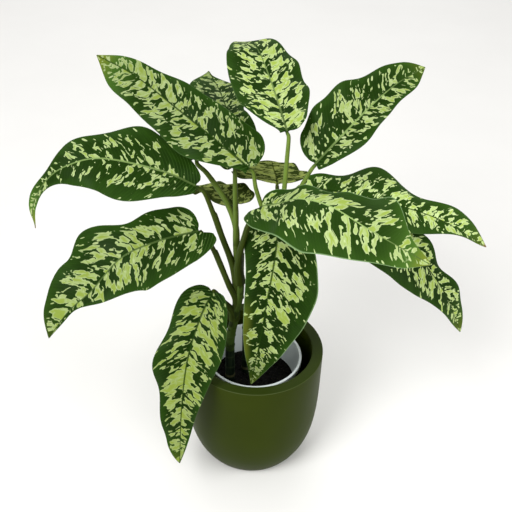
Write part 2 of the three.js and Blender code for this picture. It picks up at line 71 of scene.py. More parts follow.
# How a leaf looks unless it says otherwise: cover is how much of it is lime, reach how far from the midrib
# the lime goes, plain_base how long its plain base is, short how short and fine how small its patches are,
# warm how yellow and lime_light how light its lime is, ground how light its green is, pale_rib how pale its
# midrib is, margin how strong the painted highlight along its margin is, bright_tip, brown_tip and
# yellow_edge how strong each of them is, and stalk how dark its petiole is.
USUAL_LOOK = {
    "cover": 0.06, "reach": 0.86, "plain_base": 0.04, "short": 1, "fine": 1.4, "warm": 0, "lime_light": 1,
    "ground": 0.05, "pale_rib": 0, "margin": 0.1, "bright_tip": 0.2, "brown_tip": 0, "yellow_edge": 0,
    "stalk": 0.4,
}


def leaf_values(look, **shape):
    """All values of a leaf, where look and shape give those that aren't the usual ones."""
    return {**USUAL_SHAPE, **shape, "look": {**USUAL_LOOK, **look}}


# Each leaf's midrib, the way that its upper face looks, its half widths on the left and right at the width
# stations, and the line of its petiole, in millimetres, as in the part's source
LEAVES = [
    leaf_values(
        name="leaf_01_top_left", cane=2,
        rib=[(-17, 0, 523), (-59, 18, 550), (-119, 45, 586), (-176, 62, 623), (-224, 62, 649)],
        facing=[(0.1, -0.75, 0.6), (0.1, -0.8, 0.55)],
        left=[19, 44, 42, 37, 29], right=[46, 42, 37, 24, 14], fold=[12, 12, 12], curl=[30, 30], lobe=(2, 8),
        petiole=[(22, 12, 372), (12, 7, 428), (3, 4, 458), (-7, 2, 491)],
        look=dict(cover=0.08, reach=0.9, short=1.1, lime_light=0.7, ground=0.03, bright_tip=0.6, stalk=0.2)),
    leaf_values(
        name="leaf_02_left", cane=1,
        rib=[(-89, 0, 492), (-135, -8, 518), (-210, -20, 540), (-257, -28, 531), (-288, -30, 506),
             (-308, -32, 468), (-308, -35, 435)],
        facing=[(0, -0.6, 0.8), (0, -0.6, 0.8), (0, -0.6, 0.8), (-0.5, -0.6, 0.5)],
        left=[30, 52, 44, 14, 5], right=[35, 56, 34, 15, 5],
        fold=[12, 5, 5], wave=(3.4, 3.4, 2), scallop=(0, 3), lobe=(1, 5), sheath=1.1, sheath_end=0.71,
        petiole=[(-27, 0, 300), (-31, 0, 333), (-38, 1, 365), (-54, 2, 411), (-66, 2, 449), (-77, 1, 480)],
        look=dict(cover=-0.02, reach=0.8, plain_base=0.2, lime_light=0.85, pale_rib=0.6, bright_tip=1,
                  brown_tip=0.7, stalk=0.9)),
    leaf_values(
        name="leaf_03_lower_left", cane=1,
        rib=[(-84, -19, 431), (-139, -40, 425), (-187, -62, 410), (-228, -82, 366), (-259, -95, 339),
             (-289, -105, 297)],
        facing=[(0, -0.6, 0.8), (-0.1, -0.7, 0.7), (-0.3, -0.8, 0.4)],
        left=[42, 58, 47, 13, 3], right=[44, 41, 65, 53, 33],
        fold=[12, 12, 12], wave=(1.5, 3.9, 2.6), scallop=(2.4, 4.5), lobe=(28, 4), hook=3, sheath_end=0.74,
        petiole=[(-31, -3, 262), (-30, -4, 298), (-41, -8, 329), (-54, -13, 369), (-66, -17, 403)],
        look=dict(cover=0.08, reach=0.84, plain_base=0.06, short=0.9, fine=1.35, warm=0.1, lime_light=0.76,
                  ground=0.03, pale_rib=0.2, bright_tip=0.1, stalk=0.9)),
    leaf_values(
        name="leaf_04_in_front_of_pot", cane=1,
        rib=[(-63, -31, 333), (-79, -60, 310), (-95, -95, 261), (-103, -120, 187), (-106, -140, 87)],
        facing=[(0, -0.8, 0.6), (0, -0.9, 0.4)],
        left=[36, 49, 36, 21, 10], right=[37, 42, 44, 26, 21],
        fold=[12, 12, 12], wave=(7, 3.2, 6.1), scallop=(-1, 4), lobe=(4, 5), hook=3,
        petiole=[(-33, -4, 262), (-36, -5, 278), (-43, -8, 291), (-51, -13, 304), (-58, -17, 318)],
        look=dict(cover=0.11, plain_base=0.12, short=0.8, fine=1.35, warm=0.5, lime_light=0.72, ground=0,
                  stalk=0.8)),
    leaf_values(
        name="leaf_05_over_soil", cane=2,
        rib=[(27, -15, 448), (23, -33, 392), (15, -50, 332), (8, -58, 268), (-3, -55, 175)],
        facing=[(-0.15, -0.9, 0.5), (-0.15, -1, 0.2)],
        left=[50, 68, 62, 39, 17], right=[50, 38, 31, 24, 9],
        fold=[5, 5, 5], curl=[15, 25], wave=(4.3, 4, 0), scallop=(-0.8, -0.8), lobe=(6, 8),
        petiole=[(20, 12, 365), (25, 8, 410), (28, 2, 446)],
        look=dict(cover=0.03, reach=0.8, plain_base=0.06, short=1.2, fine=1.25, warm=0.15, lime_light=0.9,
                  ground=0, margin=0.7, bright_tip=0.35, yellow_edge=0.8, stalk=0.8)),
    leaf_values(
        name="leaf_06_right_large", cane=1,
        rib=[(2, -40, 489), (24, -56, 504), (50, -80, 527), (88, -110, 535), (137, -135, 518),
             (212, -150, 482)],
        facing=[(0, -0.4, 0.92), (0.1, -0.3, 0.95), (0.3, -0.6, 0.7)],
        left=[27, 26, 44, 70, 19], right=[45, 66, 69, 41, 23],
        fold=[10, -10, 6], curl=[10, 10], scallop=(1, 1), lobe=(4, 28), sheath=1.2,
        petiole=[(-26, 0, 330), (-28, -5, 362), (-26, -13, 392), (-21, -21, 422), (-14, -28, 452)],
        look=dict(cover=0.05, reach=0.8, plain_base=0, short=0.7, fine=1.15, lime_light=0.99, ground=0.12,
                  pale_rib=1, margin=0.9, bright_tip=0.8, stalk=1)),
    leaf_values(
        name="leaf_07_right_upper", cane=2,
        rib=[(63, 40, 475), (127, 40, 465), (195, 40, 450), (262, 30, 433), (330, 15, 400)],
        facing=[(0, -0.5, 0.85), (0.1, -0.4, 0.9), (0.3, -0.4, 0.8)],
        left=[26, 47, 52, 19, 32], right=[36, 46, 43, 27, 8],
        fold=[10, 5, 10], wave=(8.2, 2.7, 6.2), scallop=(8, 2),
        petiole=[(24, 13, 380), (32, 20, 425), (43, 30, 456)],
        look=dict(cover=0.025, reach=0.88, short=0.9, fine=1.45, lime_light=1.25, ground=0.18, bright_tip=0.3,
                  brown_tip=1)),
    leaf_values(
        name="leaf_08_right_drooping", cane=2,
        rib=[(115, 5, 429), (175, 0, 418), (229, -5, 391), (278, -10, 330), (311, -15, 263)],
        facing=[(0.1, -0.5, 0.85), (0.4, -0.5, 0.7), (0.6, -0.6, 0.4)],
        left=[26, 42, 27, 23, 24], right=[36, 50, 52, 31, 14], wave=(4.2, 3.6, 2), scallop=(3.7, 1.6),
        petiole=[(24, 12, 375), (45, 10, 408), (75, 7, 427)],
        look=dict(reach=0.84, plain_base=0.02, short=1.1, fine=1.35, warm=0.1, lime_light=1.14,
                  bright_tip=0.3)),
    leaf_values(
        name="leaf_09_top_right", cane=2,
        rib=[(72, 10, 528), (108, 30, 564), (143, 55, 594), (179, 80, 618), (218, 100, 635)],
        facing=[(-0.3, -0.8, 0.6), (0, -0.7, 0.7)],
        left=[44, 55, 50, 32, 22], right=[20, 32, 28, 23, 18], fold=[18, 18, 12], scallop=(1, 1), lobe=(3, 4),
        petiole=[(26, 12, 390), (38, 11, 432), (48, 10, 469), (58, 10, 498)],
        look=dict(cover=0, reach=0.9, short=1.1, fine=1.5, lime_light=0.86, pale_rib=0.7, stalk=0.3)),
    leaf_values(
        name="leaf_10_top_centre", cane=2,
        rib=[(31, 0, 581), (21, 40, 594), (6, 90, 615), (-15, 140, 639), (-41, 175, 632)],
        facing=[(0, -0.7, 0.7), (0, -0.3, 0.9), (0, 0.2, 0.9)],
        left=[22, 48, 54, 50, 33], right=[31, 45, 46, 41, 22], scallop=(1, 1), lobe=(3, 3),
        petiole=[(26, 12, 385), (30, 8, 445), (32, 3, 489), (33, -4, 540)],
        look=dict(reach=0.95, plain_base=0.03, warm=0.1, lime_light=1.04, ground=0.04, pale_rib=0.4,
                  stalk=0)),
    leaf_values(
        name="leaf_11_back_top", cane=1,
        rib=[(-38, 45, 498), (-42, 80, 523), (-52, 125, 541), (-68, 180, 553), (-88, 235, 560)],
        facing=[(0, -0.5, 0.85), (0, -0.1, 1)],
        left=[30, 46, 34, 50, 30], right=[26, 34, 24, 42, 4], wave=(6, 3.7, -1), scallop=(4, -2), sheath=0.8,
        petiole=[(-26, 0, 335), (-30, 3, 364), (-33, 10, 398), (-34, 18, 434), (-36, 28, 463)],
        look=dict(cover=0.03, plain_base=0.05, lime_light=0.8, stalk=0.5)),
    leaf_values(
        name="leaf_12_back_centre", cane=2, slot="leaf_shaded",
        rib=[(23, 40, 478), (22, 90, 461), (19, 140, 444), (17, 190, 427), (17, 245, 401)],
        facing=[(0, 0.3, 1), (0, 0.5, 0.85)],
        left=[40, 65, 60, 46, 26], right=[36, 50, 48, 38, 22],
        fold=[10, 5, 0], curl=[15, 20], wave=(5, 3, 0), lobe=(8, 8),
        petiole=[(25, 13, 390), (28, 16, 425), (25, 22, 450)],
        look=dict(cover=0.08, reach=1, plain_base=0, fine=1.2, ground=0.3, bright_tip=0, stalk=1)),
    leaf_values(
        name="leaf_13_back_left", cane=1, slot="leaf_shaded",
        rib=[(-39, 50, 435), (-58, 85, 433), (-86, 125, 416), (-120, 162, 391), (-156, 188, 364)],
        facing=[(-0.2, 0.42, 0.95), (-0.3, 0.5, 0.9)],
        left=[24, 28, 28, 24, 14], right=[42, 52, 42, 34, 18],
        fold=[6, 5, 0], curl=[20, 20], lobe=(6, 10), sheath=0.8,
        petiole=[(-27, 2, 360), (-32, 14, 393), (-35, 30, 418)],
        # Painted light: this leaf's ground and lime are made lighter to make up for the shade that lies on it
        look=dict(reach=0.95, plain_base=0, fine=1.2, lime_light=1.3, ground=0.6, bright_tip=0, stalk=1)),
    leaf_values(
        name="leaf_14_back_hidden", cane=1,
        rib=[(-95, 75, 494), (-107, 110, 504), (-119, 150, 513), (-135, 190, 520), (-154, 220, 522)],
        facing=[(0, -0.5, 0.85), (0, -0.1, 1)],
        left=[28, 40, 38, 28, 15], right=[28, 40, 38, 28, 15], sheath=0.65,
        petiole=[(-32, 8, 390), (-34, 16, 418), (-46, 28, 446), (-60, 40, 463), (-78, 56, 480)],
        look=dict(cover=0.03, plain_base=0.05, lime_light=0.9)),
]

# Each cane's axis and its radius at the foot and at the top, in millimetres, how dark it is, and how thick
# the middle and the leaf end of its petioles are against the usual
CANES = [
    dict(
        name="stem_1", slot="green_cane", foot=8.8, top=7.0, age=0.55, stalk=1, petiole=1,
        axis=[(-37, -5, 90), (-37, -5, 143), (-38, -5, 199), (-37, -5, 230), (-31, -4, 269), (-27, -3, 298),
              (-25, -2, 320), (-26, 0, 352), (-26, 2, 380)]),
    dict(
        name="stem_2", slot="dark_cane", foot=8.0, top=7.0, age=0.75, stalk=0.8, petiole=0.9,
        axis=[(-12, 14, 90), (-12, 14, 161), (-13, 13, 242), (-11, 12, 281), (2, 12, 316), (19, 12, 358),
              (25, 12, 382), (26, 12, 399)]),
]

# The rings of the canes, in millimetres, and the marks on them by their height in metres
RING_SPACING = 21
RING_HEIGHT = 0.9
RINGS_FOOT = 0.140
RINGS_TOP = 0.235
SOIL_MARK = 0.149
BARK_TOP = 0.207
FRESH_TOP = 0.25
SCAR = 0.258

# How far the end of a petiole lies ahead of the blade's base and below it, in millimetres, after its hook
HOOK_DEPTH = 6.5
PETIOLE_END = [(0, 4.8), (8, 3.4)]

# The blade's shape, as in the part's source
WIDTH_STATIONS = (0.1, 0.3, 0.5, 0.7, 0.88)
BASE_STATION = -0.1
BASE_NARROWING = 0.15
ROOT_HALF_WIDTH = 9.5
TIP_HALF_WIDTH = 0.5
LOBE_LENGTH = 0.25
LOBE_START = 0.3
LOBE_LEVEL = 0.7
LOBE_TUCK = 0.35
LOBE_TUCK_LENGTH = 0.01
CURL_REFERENCE = 50
WAVE_POWER = 2.2
WAVE_FADE = 0.7
WAVE_LAG = 1.7
RIDGE_DEPTH = 2.4
FRAME_STEP = 0.004

# How finely a blade is made, how its rows crowd at the base and its columns at the midrib
BLADE_COLUMNS = 40
BLADE_ROWS = 96
ROW_CROWDING = 1.15
COLUMN_CROWDING = 1.25

# The pots and the soil, in millimetres
CACHEPOT_FOOT_RADIUS = 68
CACHEPOT_BELLY_RADIUS = 76
CACHEPOT_BELLY_POWER = 5
CACHEPOT_FLOOR = 14
OUTSIDE_LEVELS = (2.5, 4, 6, 8.5, 12, 16, 21, 27, 34, 42, 52, 64, 78, 95, 115, 140, 170)
INSIDE_LEVELS = (176, 165, 140, 110, 85, 65, 48, 36, 27)
NURSERY_FOOT_RADIUS = 52
LIP_HEIGHT = 9
SOIL_TOP = 138
SOIL_GAP = 0.3
SOIL_SQUARES = 110
CRUMBS = 130

# Each soft light's place, aim, size and power, and the camera, in metres, degrees and millimetres of lens
LIGHTS = {
    "key": ((-1.3, -1.7, 2.4), (0, 0, 0.35), 1.6, 80),
    "fill": ((1.9, -1.2, 1.6), (0, 0, 0.35), 1.8, 30),
    "back": ((0, 2.6, 3), (0, 2.2, 0), 3, 40),
}
FLOOR_SIZE = 14
CAMERA_PLACE = (-0.003, -0.975, 1.071)
CAMERA_PITCH = 35.4
CAMERA_ROLL = 2.3
CAMERA_LENS = 58


def srgb(red, green, blue):
    """A colour as a shader wants it, from its 0 to 255 values."""
    def linear(value):
        value /= 255
        return value / 12.92 if value <= 0.04045 else ((value + 0.055) / 1.055) ** 2.4
    return (linear(red), linear(green), linear(blue))


# Colours of the leaves
LIGHT_GREEN = srgb(68, 108, 36)
TIP_GREEN = srgb(80, 118, 42)
TIP_YELLOW = srgb(118, 122, 36)
TIP_BROWN = srgb(104, 78, 40)
EDGE_YELLOW = srgb(108, 114, 34)
PATCH_RIM = srgb(186, 203, 145)
WARM_LIME = srgb(140, 158, 52)
VEIN_GREEN = srgb(92, 132, 62)
PALE_RIB = srgb(142, 168, 98)
MARGIN_HIGHLIGHT = srgb(118, 146, 98)
UNDERSIDE = srgb(104, 138, 84)
UNDERSIDE_RIB = srgb(142, 172, 96)
OLIVE_PATCH = srgb(140, 152, 82)
OLIVE_HEART = srgb(152, 164, 84)
DARK_OLIVE = srgb(28, 44, 10)
PALE_OLIVE = srgb(88, 100, 48)
OLIVE_RIB = srgb(44, 54, 18)

# Colours of the canes and petioles
LIT_GREEN = srgb(118, 144, 78)
LEAF_END = srgb(38, 62, 20)
FRESH_GREEN = srgb(86, 112, 58)
CANE_GREEN = srgb(50, 74, 24)
BLOTCH_GREEN = srgb(24, 34, 12)
BARK_DARK = srgb(12, 22, 13)
BARK_LIGHT = srgb(38, 50, 32)
RING_TAN = srgb(96, 104, 70)
SOIL_TAN = srgb(88, 84, 56)
SCAR_BROWN = srgb(24, 28, 12)

# Colours of the pots and the soil
UPWARD_SHADE = srgb(40, 52, 16)
RIM_HIGHLIGHT = srgb(112, 124, 92)
SCUFF = srgb(176, 172, 160)
FIBRE = srgb(112, 92, 66)


# Values that a user may change


def length_value(name, description, default, lowest=0.0):
    """A length, in metres."""
    return FloatProperty(name=name, description=description, default=default, min=lowest, unit="LENGTH",
                         subtype="DISTANCE")


def colour_value(name, description, default):
    """A colour, from its 0 to 255 values."""
    return FloatVectorProperty(name=name, description=description, default=srgb(*default), size=3, min=0,
                               max=1, subtype="COLOR")


class CachepotValues(PropertyGroup):
    rim_band: length_value("Rim band", "Width of the flat band round the mouth", 0.017, 0.004)
    wall: length_value("Wall", "Thickness of the wall below the rim", 0.010, 0.002)
    glaze: colour_value("Glaze", "Colour of the cachepot's satin finish", (44, 54, 6))
    roughness: FloatProperty(
        name="Roughness", description="How dull the cachepot's finish is", default=0.42, min=0, max=1,
        subtype="FACTOR")


class NurseryPotValues(PropertyGroup):
    wall: length_value("Wall", "Thickness of the plastic", 0.0016, 0.0005)
    lip: length_value("Lip", "How far the lip stands out", 0.0024)
    plastic: colour_value("Plastic", "Colour of the nursery pot", (206, 214, 214))


class SoilValues(PropertyGroup):
    lump: length_value("Lump", "Height of the soil's lumps", 0.0035)
    peat: colour_value("Peat", "Colour of the soil", (12, 11, 9))


class StemValues(PropertyGroup):
    sheath_radius: length_value("Sheath radius", "Radius of a petiole where it wraps the cane", 0.0079, 0.002)
    stalk_radius: length_value("Stalk radius", "Radius of a petiole above its sheath", 0.0041, 0.001)
    petiole_radius: length_value("Petiole radius", "Radius of a petiole at the leaf", 0.0028, 0.001)
    young_green: colour_value("Young green", "Colour of the petioles near the leaves", (100, 122, 48))
    old_green: colour_value("Old green", "Colour of the lower canes and sheaths", (36, 46, 3))


class LeafValues(PropertyGroup):
    thickness: length_value("Thickness", "Thickness of a blade", 0.0009, 0.0003)
    dark_green: colour_value("Dark green", "Colour of the leaf's ground", (20, 42, 2))
    lime: colour_value("Lime", "Colour of the patches", (160, 179, 117))
    deep_lime: colour_value("Deep lime", "Colour inside the large patches", (142, 162, 71))


class StageValues(PropertyGroup):
    floor: colour_value("Floor", "Colour of the floor", (232, 231, 228))
    sky: FloatProperty(
        name="Sky", description="Strength of the light from all round", default=0.6, min=0)


class PlantValues(PropertyGroup):
    cachepot: PointerProperty(type=CachepotValues)
    nursery_pot: PointerProperty(type=NurseryPotValues)
    soil: PointerProperty(type=SoilValues)
    stems: PointerProperty(type=StemValues)
    leaves: PointerProperty(type=LeafValues)
    stage: PointerProperty(type=StageValues)


# Finishes


class Amount:
    """A number that a finish's nodes work out at each point, to add, subtract and multiply."""

    def __init__(self, finish, socket):
        self.finish = finish
        self.socket = socket

    def __add__(self, other):
        return self.finish.math("ADD", self, other)

    def __sub__(self, other):
        return self.finish.math("SUBTRACT", self, other)

    def __rsub__(self, other):
        return self.finish.math("SUBTRACT", other, self)

    def __mul__(self, other):
        return self.finish.math("MULTIPLY", self, other)


class Finish:
    """A procedural finish, put together from named steps."""

    def __init__(self, name):
        self.material = bpy.data.materials.new(name)
        self.material.use_nodes = True
        self.nodes = self.material.node_tree.nodes
        self.shader = self.nodes["Principled BSDF"]

    def feed(self, socket, value):
        """Sets a socket to a plain value, or links it to an amount or another socket."""
        if isinstance(value, Amount):
            value = value.socket
        if isinstance(value, bpy.types.NodeSocket):
            self.material.node_tree.links.new(value, socket)
        else:
            socket.default_value = value

    def node(self, kind, inputs, **settings):
        node = self.nodes.new(kind)
        for key, value in settings.items():
            setattr(node, key, value)
        for key, value in inputs.items():
            self.feed(node.inputs[key], value)
        return node

    def math(self, operation, a, b=0.0):
        return Amount(self, self.node("ShaderNodeMath", {0: a, 1: b}, operation=operation).outputs[0])

    def split(self, vector):
        """The three numbers of a vector."""
        return [Amount(self, output) for output in self.node("ShaderNodeSeparateXYZ", {0: vector}).outputs]

    def attribute(self, name):
        """The three numbers of a piece's own attribute."""
        return self.split(self.node("ShaderNodeAttribute", {}, attribute_name=name).outputs["Vector"])

    def place(self):
        return self.node("ShaderNodeTexCoord", {}).outputs["Object"]

    def vector(self, x, y, z):
        return self.node("ShaderNodeCombineXYZ", {0: x, 1: y, 2: z}).outputs[0]

    def noise(self, vector, scale=1.0, detail=2.0, roughness=0.5):
        node = self.node("ShaderNodeTexNoise", {
            "Vector": vector, "Scale": scale, "Detail": detail, "Roughness": roughness})
        return Amount(self, node.outputs["Fac"])

    def cells(self, vector, feature):
        """A pattern of cells: its node, and the distance in a cell."""
        node = self.node("ShaderNodeTexVoronoi", {"Vector": vector, "Scale": 1.0}, feature=feature)
        return node, Amount(self, node.outputs["Distance"])

    def ramp(self, value, low, high, bottom=0.0, top=1.0):
        """bottom below low, top above high, and smooth between them."""
        node = self.node("ShaderNodeMapRange", {
            "Value": value, "From Min": low, "From Max": high, "To Min": bottom, "To Max": top},
            interpolation_type="SMOOTHSTEP")
        return Amount(self, node.outputs["Result"])

    def mix(self, share, a, b):
        """Colour a where share is 0, and colour b where it is 1."""
        node = self.node("ShaderNodeMix", {0: share}, data_type="RGBA")
        for index, colour in ((6, a), (7, b)):
            linked = isinstance(colour, bpy.types.NodeSocket)
            self.feed(node.inputs[index], colour if linked else (*colour, 1))
        return node.outputs[2]

    def paint(self, colour, share=None):
        """Lays a colour over what is there, as strongly as share says, or all over."""
        self.colour = colour if share is None else self.mix(share, self.colour, colour)

    def lighten(self, colour, factor):
        return self.node("ShaderNodeVectorMath", {0: colour, 3: factor}, operation="SCALE").outputs[0]

    def bump(self, height, distance, strength):
        node = self.node("ShaderNodeBump", {"Strength": strength, "Distance": distance, "Height": height})
        self.feed(self.shader.inputs["Normal"], node.outputs[0])

    def finish(self, roughness, specular=0.5):
        self.feed(self.shader.inputs["Base Color"], self.colour)
        self.feed(self.shader.inputs["Roughness"], roughness)
        self.shader.inputs["Specular IOR Level"].default_value = specular
        return self.material


def shade(colour, factor):
    return tuple(min(1.0, c * factor) for c in colour)


def leaf_finish(name, values, upper, shaded):
    """Dark green with jagged lime patches that follow the side veins, and paler and duller underneath."""
    f = Finish(name)
    across, along, reach = f.attribute("blade")
    seed, cover, lime_reach = f.attribute("patches")
    plain_base, pale_rib, warm = f.attribute("tone")
    short, fine, ground_light = f.attribute("grain")
    share, lime_light, margin = f.attribute("extent")
    bright_tip, brown_tip, yellow_edge = f.attribute("ends")
    side = f.math("SIGN", across)
    out = f.math("ABSOLUTE", across)

    # A side vein leaves the midrib slanting, turns towards the tip and wanders a little
    straight = along - (out * 0.42 + out * out * 0.0055)
    vein = straight + f.noise(f.vector(straight * 0.05, out * 0.05, seed), detail=1) * 9.0
    sided = seed + side * 7.3

    # Patches: cells drawn out along the side veins. They run together near the midrib and shrink to lone
    # islands further out.
    bend = f.noise(f.vector(vein * 0.13, out * 0.10, sided + 11), detail=1)
    shift = f.noise(f.vector(vein * 0.13, out * 0.10, sided + 23), detail=1)
    u = (vein + bend * 10.0) * fine
    v = (out + shift * 16.0) * short * fine
    coarse = f.noise(f.vector(u * 0.07, v * 0.04, sided), detail=1, roughness=0.45)
    jagged = f.noise(f.vector(u * 0.21, v * 0.12, sided + 3.7), detail=0.5, roughness=0.4)
    _, from_edge = f.cells(f.vector(u * 0.1, v * 0.062, sided), "DISTANCE_TO_EDGE")
    limit = (0.64 - coarse) * 1.5 - cover * 1.4
    limit += f.ramp(reach - lime_reach, -0.25, 0.1, 0.0, 0.4)
    limit += f.ramp(along * 0.004, 0.0, plain_base, 0.2, 0.0)
    field = from_edge + (jagged - 0.5) * 0.62 - limit
    patch = f.ramp(field, 0.0, 0.035)
    heart = f.ramp(field, 0.14, 0.36)

    # Lone dots between the patches and further out, in half of the cells
    dots, from_middle = f.cells(f.vector(vein * 0.15, out * 0.09, sided), "F1")
    size = f.ramp(f.split(dots.outputs["Color"])[0], 0.5, 1.0, 0.0, 0.28)
    dot = f.ramp(size - from_middle, 0.0, 0.03) * f.ramp(reach, 0.985, 0.93)
    patch = f.math("MAXIMUM", patch, dot * 0.9)

    # Fine side veins and the midrib
    wave = f.math("PINGPONG", straight * 0.2, 0.5)
    line = f.ramp(wave, 0.40, 0.5) * f.ramp(along * 0.003, 0.0, plain_base + 0.02, 0.4, 0.05)
    micro = f.noise(f.vector(vein * 1.3, out * 0.16, sided), detail=2)
    rib = f.ramp(out - f.ramp(share, 0.0, 1.0, 1.2, 0.4), 0.0, 0.5, 1.0, 0.0)

    # The green ground, with its tip and its right margin
    f.paint(shade(values.dark_green, 0.82))
    f.paint(shade(values.dark_green, 1.25), f.ramp(coarse, 0.3, 0.7))
    f.paint(LIGHT_GREEN, ground_light + f.ramp(reach, 0.5, 1.0) * 0.12)
    f.paint(TIP_GREEN, f.ramp(share, 0.7, 1.0) * bright_tip)
    f.paint(TIP_YELLOW, f.ramp(share, 0.88, 1.0) * bright_tip)
    edge_light = f.ramp(reach * side, 0.4, 1.0) * yellow_edge
    edge_light = edge_light * (f.ramp(share, 0.4, 0.62) * f.ramp(share, 0.95, 0.7))
    f.paint(EDGE_YELLOW, edge_light * 0.75)

    # The lime of the patches
    lime = f.mix(f.ramp(field, 0.0, 0.12), PATCH_RIM, values.lime)
    lime = f.mix(heart, lime, values.deep_lime)
    lime = f.mix(f.ramp(micro, 0.4, 0.7) * 0.42, lime, shade(values.deep_lime, 0.86))
    lime = f.mix(warm * 0.6, lime, WARM_LIME)
    f.paint(f.lighten(lime, lime_light), patch)

    f.paint(VEIN_GREEN, line)
    pale = pale_rib * (f.ramp(share, 0.05, 0.3, 0.4, 1.0) * f.ramp(share, 0.55, 0.9, 1.0, 0.2))
    f.paint(f.mix(pale, shade(values.dark_green, 1.3), PALE_RIB), rib * 0.85)
    # Painted highlight: a pale line along the margin, as strong as margin says
    f.paint(MARGIN_HIGHLIGHT, f.ramp(reach, 0.965, 0.99) * margin)
    f.paint(TIP_BROWN, f.ramp(share, 0.975, 0.995) * brown_tip)
    if not upper:
        f.paint(UNDERSIDE, 0.42)
        f.paint(UNDERSIDE_RIB, rib * 0.8)
    # Painted sheen and painted shade: the leaves at the back are painted over in olive, pale where a grazing
    # sheen lies on them, with dark gaps, and lighter or darker by ground_light
    if shaded:
        olive = f.lighten(f.mix(heart, OLIVE_PATCH, OLIVE_HEART), lime_light)
        olive = f.mix(patch, f.mix(ground_light, DARK_OLIVE, PALE_OLIVE), olive)
        f.paint(f.mix(rib * 0.7, olive, OLIVE_RIB), 0.92)

    f.bump(f.ramp(wave, 0.0, 0.5) * -0.6 + micro * 0.2, 0.0004, 0.28 if upper else 0.8)
    dull = f.ramp(f.noise(f.place(), 40, 3), 0.3, 0.7, 0.42, 0.54)
    return f.finish(dull if upper else dull + 0.15, 0.0 if shaded else 0.04)


def cane_finish(values):
    """Green cane and petioles: streaked along their length, ringed and dark near the soil."""
    f = Finish("cane_green")
    cos, sin, along = f.attribute("bar")
    seed, age, height = f.attribute("growth")
    leaf_end, on_cane, _ = f.attribute("parts")
    streak = f.noise(f.vector(cos * 2.2, sin * 2.2, along * 12 + seed), detail=3, roughness=0.6)
    blotch = f.noise(f.place(), 55, 3, 0.6)
    f.paint(values.young_green)
    f.paint(values.old_green, age)
    streaked = f.ramp(streak, 0.35, 0.7) * f.ramp(age, 0.2, 0.9, 0.5, 0.12)
    f.paint(shade(values.young_green, 1.25), streaked)
    f.paint(shade(values.old_green, 0.6), f.ramp(blotch, 0.5, 0.75) * 0.35)
    # Painted shade darkens the right side of each bar, and a painted highlight lightens its left side, as
    # from a light at the left
    f.paint(shade(values.old_green, 0.5), f.ramp(cos, 0.1, 0.95, 0.0, 0.5))
    left_highlight = f.ramp(cos, 0.1, -0.6) * (f.ramp(age, 0.3, 0.9, 0.28, 0.1) + on_cane * 0.35)
    f.paint(LIT_GREEN, left_highlight)
    f.paint(LEAF_END, f.ramp(leaf_end, 0.9, 0.97) * 0.8)

    # The cane itself: fresh below, blotched, and bark with rings down to the soil
    f.paint(FRESH_GREEN, on_cane * f.ramp(height, FRESH_TOP, FRESH_TOP - 0.02) * 0.35)
    f.paint(CANE_GREEN, on_cane * 0.55)
    f.paint(BLOTCH_GREEN, on_cane * f.ramp(blotch, 0.52, 0.60) * 0.6)
    low = f.ramp(height + blotch * 0.012, BARK_TOP, BARK_TOP + 0.004, 1.0, 0.0)
    f.paint(f.mix(f.ramp(streak, 0.4, 0.7), BARK_DARK, BARK_LIGHT), low)
    ring = f.ramp(f.math("PINGPONG", height * (1 / (RING_SPACING * MM)), 0.5), 0.12, 0.0)
    f.paint(RING_TAN, ring * f.ramp(height, RINGS_TOP, RINGS_TOP + 0.005, 0.15, 0.0))
    from_soil = f.math("ABSOLUTE", height - SOIL_MARK)
    f.paint(SOIL_TAN, f.ramp(from_soil, 0.0012, 0.003, 0.6, 0.0))
    from_scar = f.math("ABSOLUTE", height - SCAR)
    scar = f.ramp(from_scar, 0.006, 0.010, 0.7, 0.0) * (f.ramp(cos, 0.1, -0.3) * on_cane)
    f.paint(SCAR_BROWN, scar)
    f.bump(streak * 0.5 + blotch * 0.3, 0.0006, 0.6)
    return f.finish(f.ramp(blotch, 0.3, 0.7, 0.38, 0.55), 0.05)


def glaze_finish(values):
    """Satin green, faintly cloudy, finely grained, with painted shade on upward faces and a painted rim
    highlight.
    """
    f = Finish("satin_green_glaze")
    cloud = f.noise(f.place(), 9, 3)
    grain = f.noise(f.place(), 900, 2)
    up = f.split(f.node("ShaderNodeNewGeometry", {}).outputs["Normal"])[2]
    f.paint(shade(values.glaze, 0.93))
    f.paint(shade(values.glaze, 1.07), f.ramp(cloud, 0.3, 0.7))
    f.paint(shade(values.glaze, 1.5), f.ramp(grain, 0.55, 0.8) * 0.12)
    # Painted shade: faces that look up, such as the rim's top, are darker
    f.paint(UPWARD_SHADE, f.ramp(up, 0.6, 0.95) * 0.7)
    # Painted highlight on the rim's rounded edges, between its top and its sides
    f.paint(RIM_HIGHLIGHT, f.ramp(up, 0.2, 0.5) * f.ramp(up, 0.9, 0.6) * 0.22)
    f.bump(grain * 0.3 + cloud * 0.8, 0.0005, 0.5)
    dull = f.ramp(cloud, 0.3, 0.7, values.roughness - 0.04, values.roughness + 0.05)
    return f.finish(dull, 0.04)


def plastic_finish(values):
    """White moulded plastic, a little scuffed."""
    f = Finish("white_moulded_plastic")
    cloud = f.noise(f.place(), 14, 2)
    scuff = f.noise(f.place(), 260, 4, 0.7)
    f.paint(values.plastic)
    f.paint(shade(values.plastic, 0.93), f.ramp(cloud, 0.3, 0.7))
    f.paint(SCUFF, f.ramp(scuff, 0.6, 0.8) * 0.25)
    f.bump(scuff, 0.0002, 0.4)
    return f.finish(f.ramp(scuff, 0.3, 0.7, 0.34, 0.5))


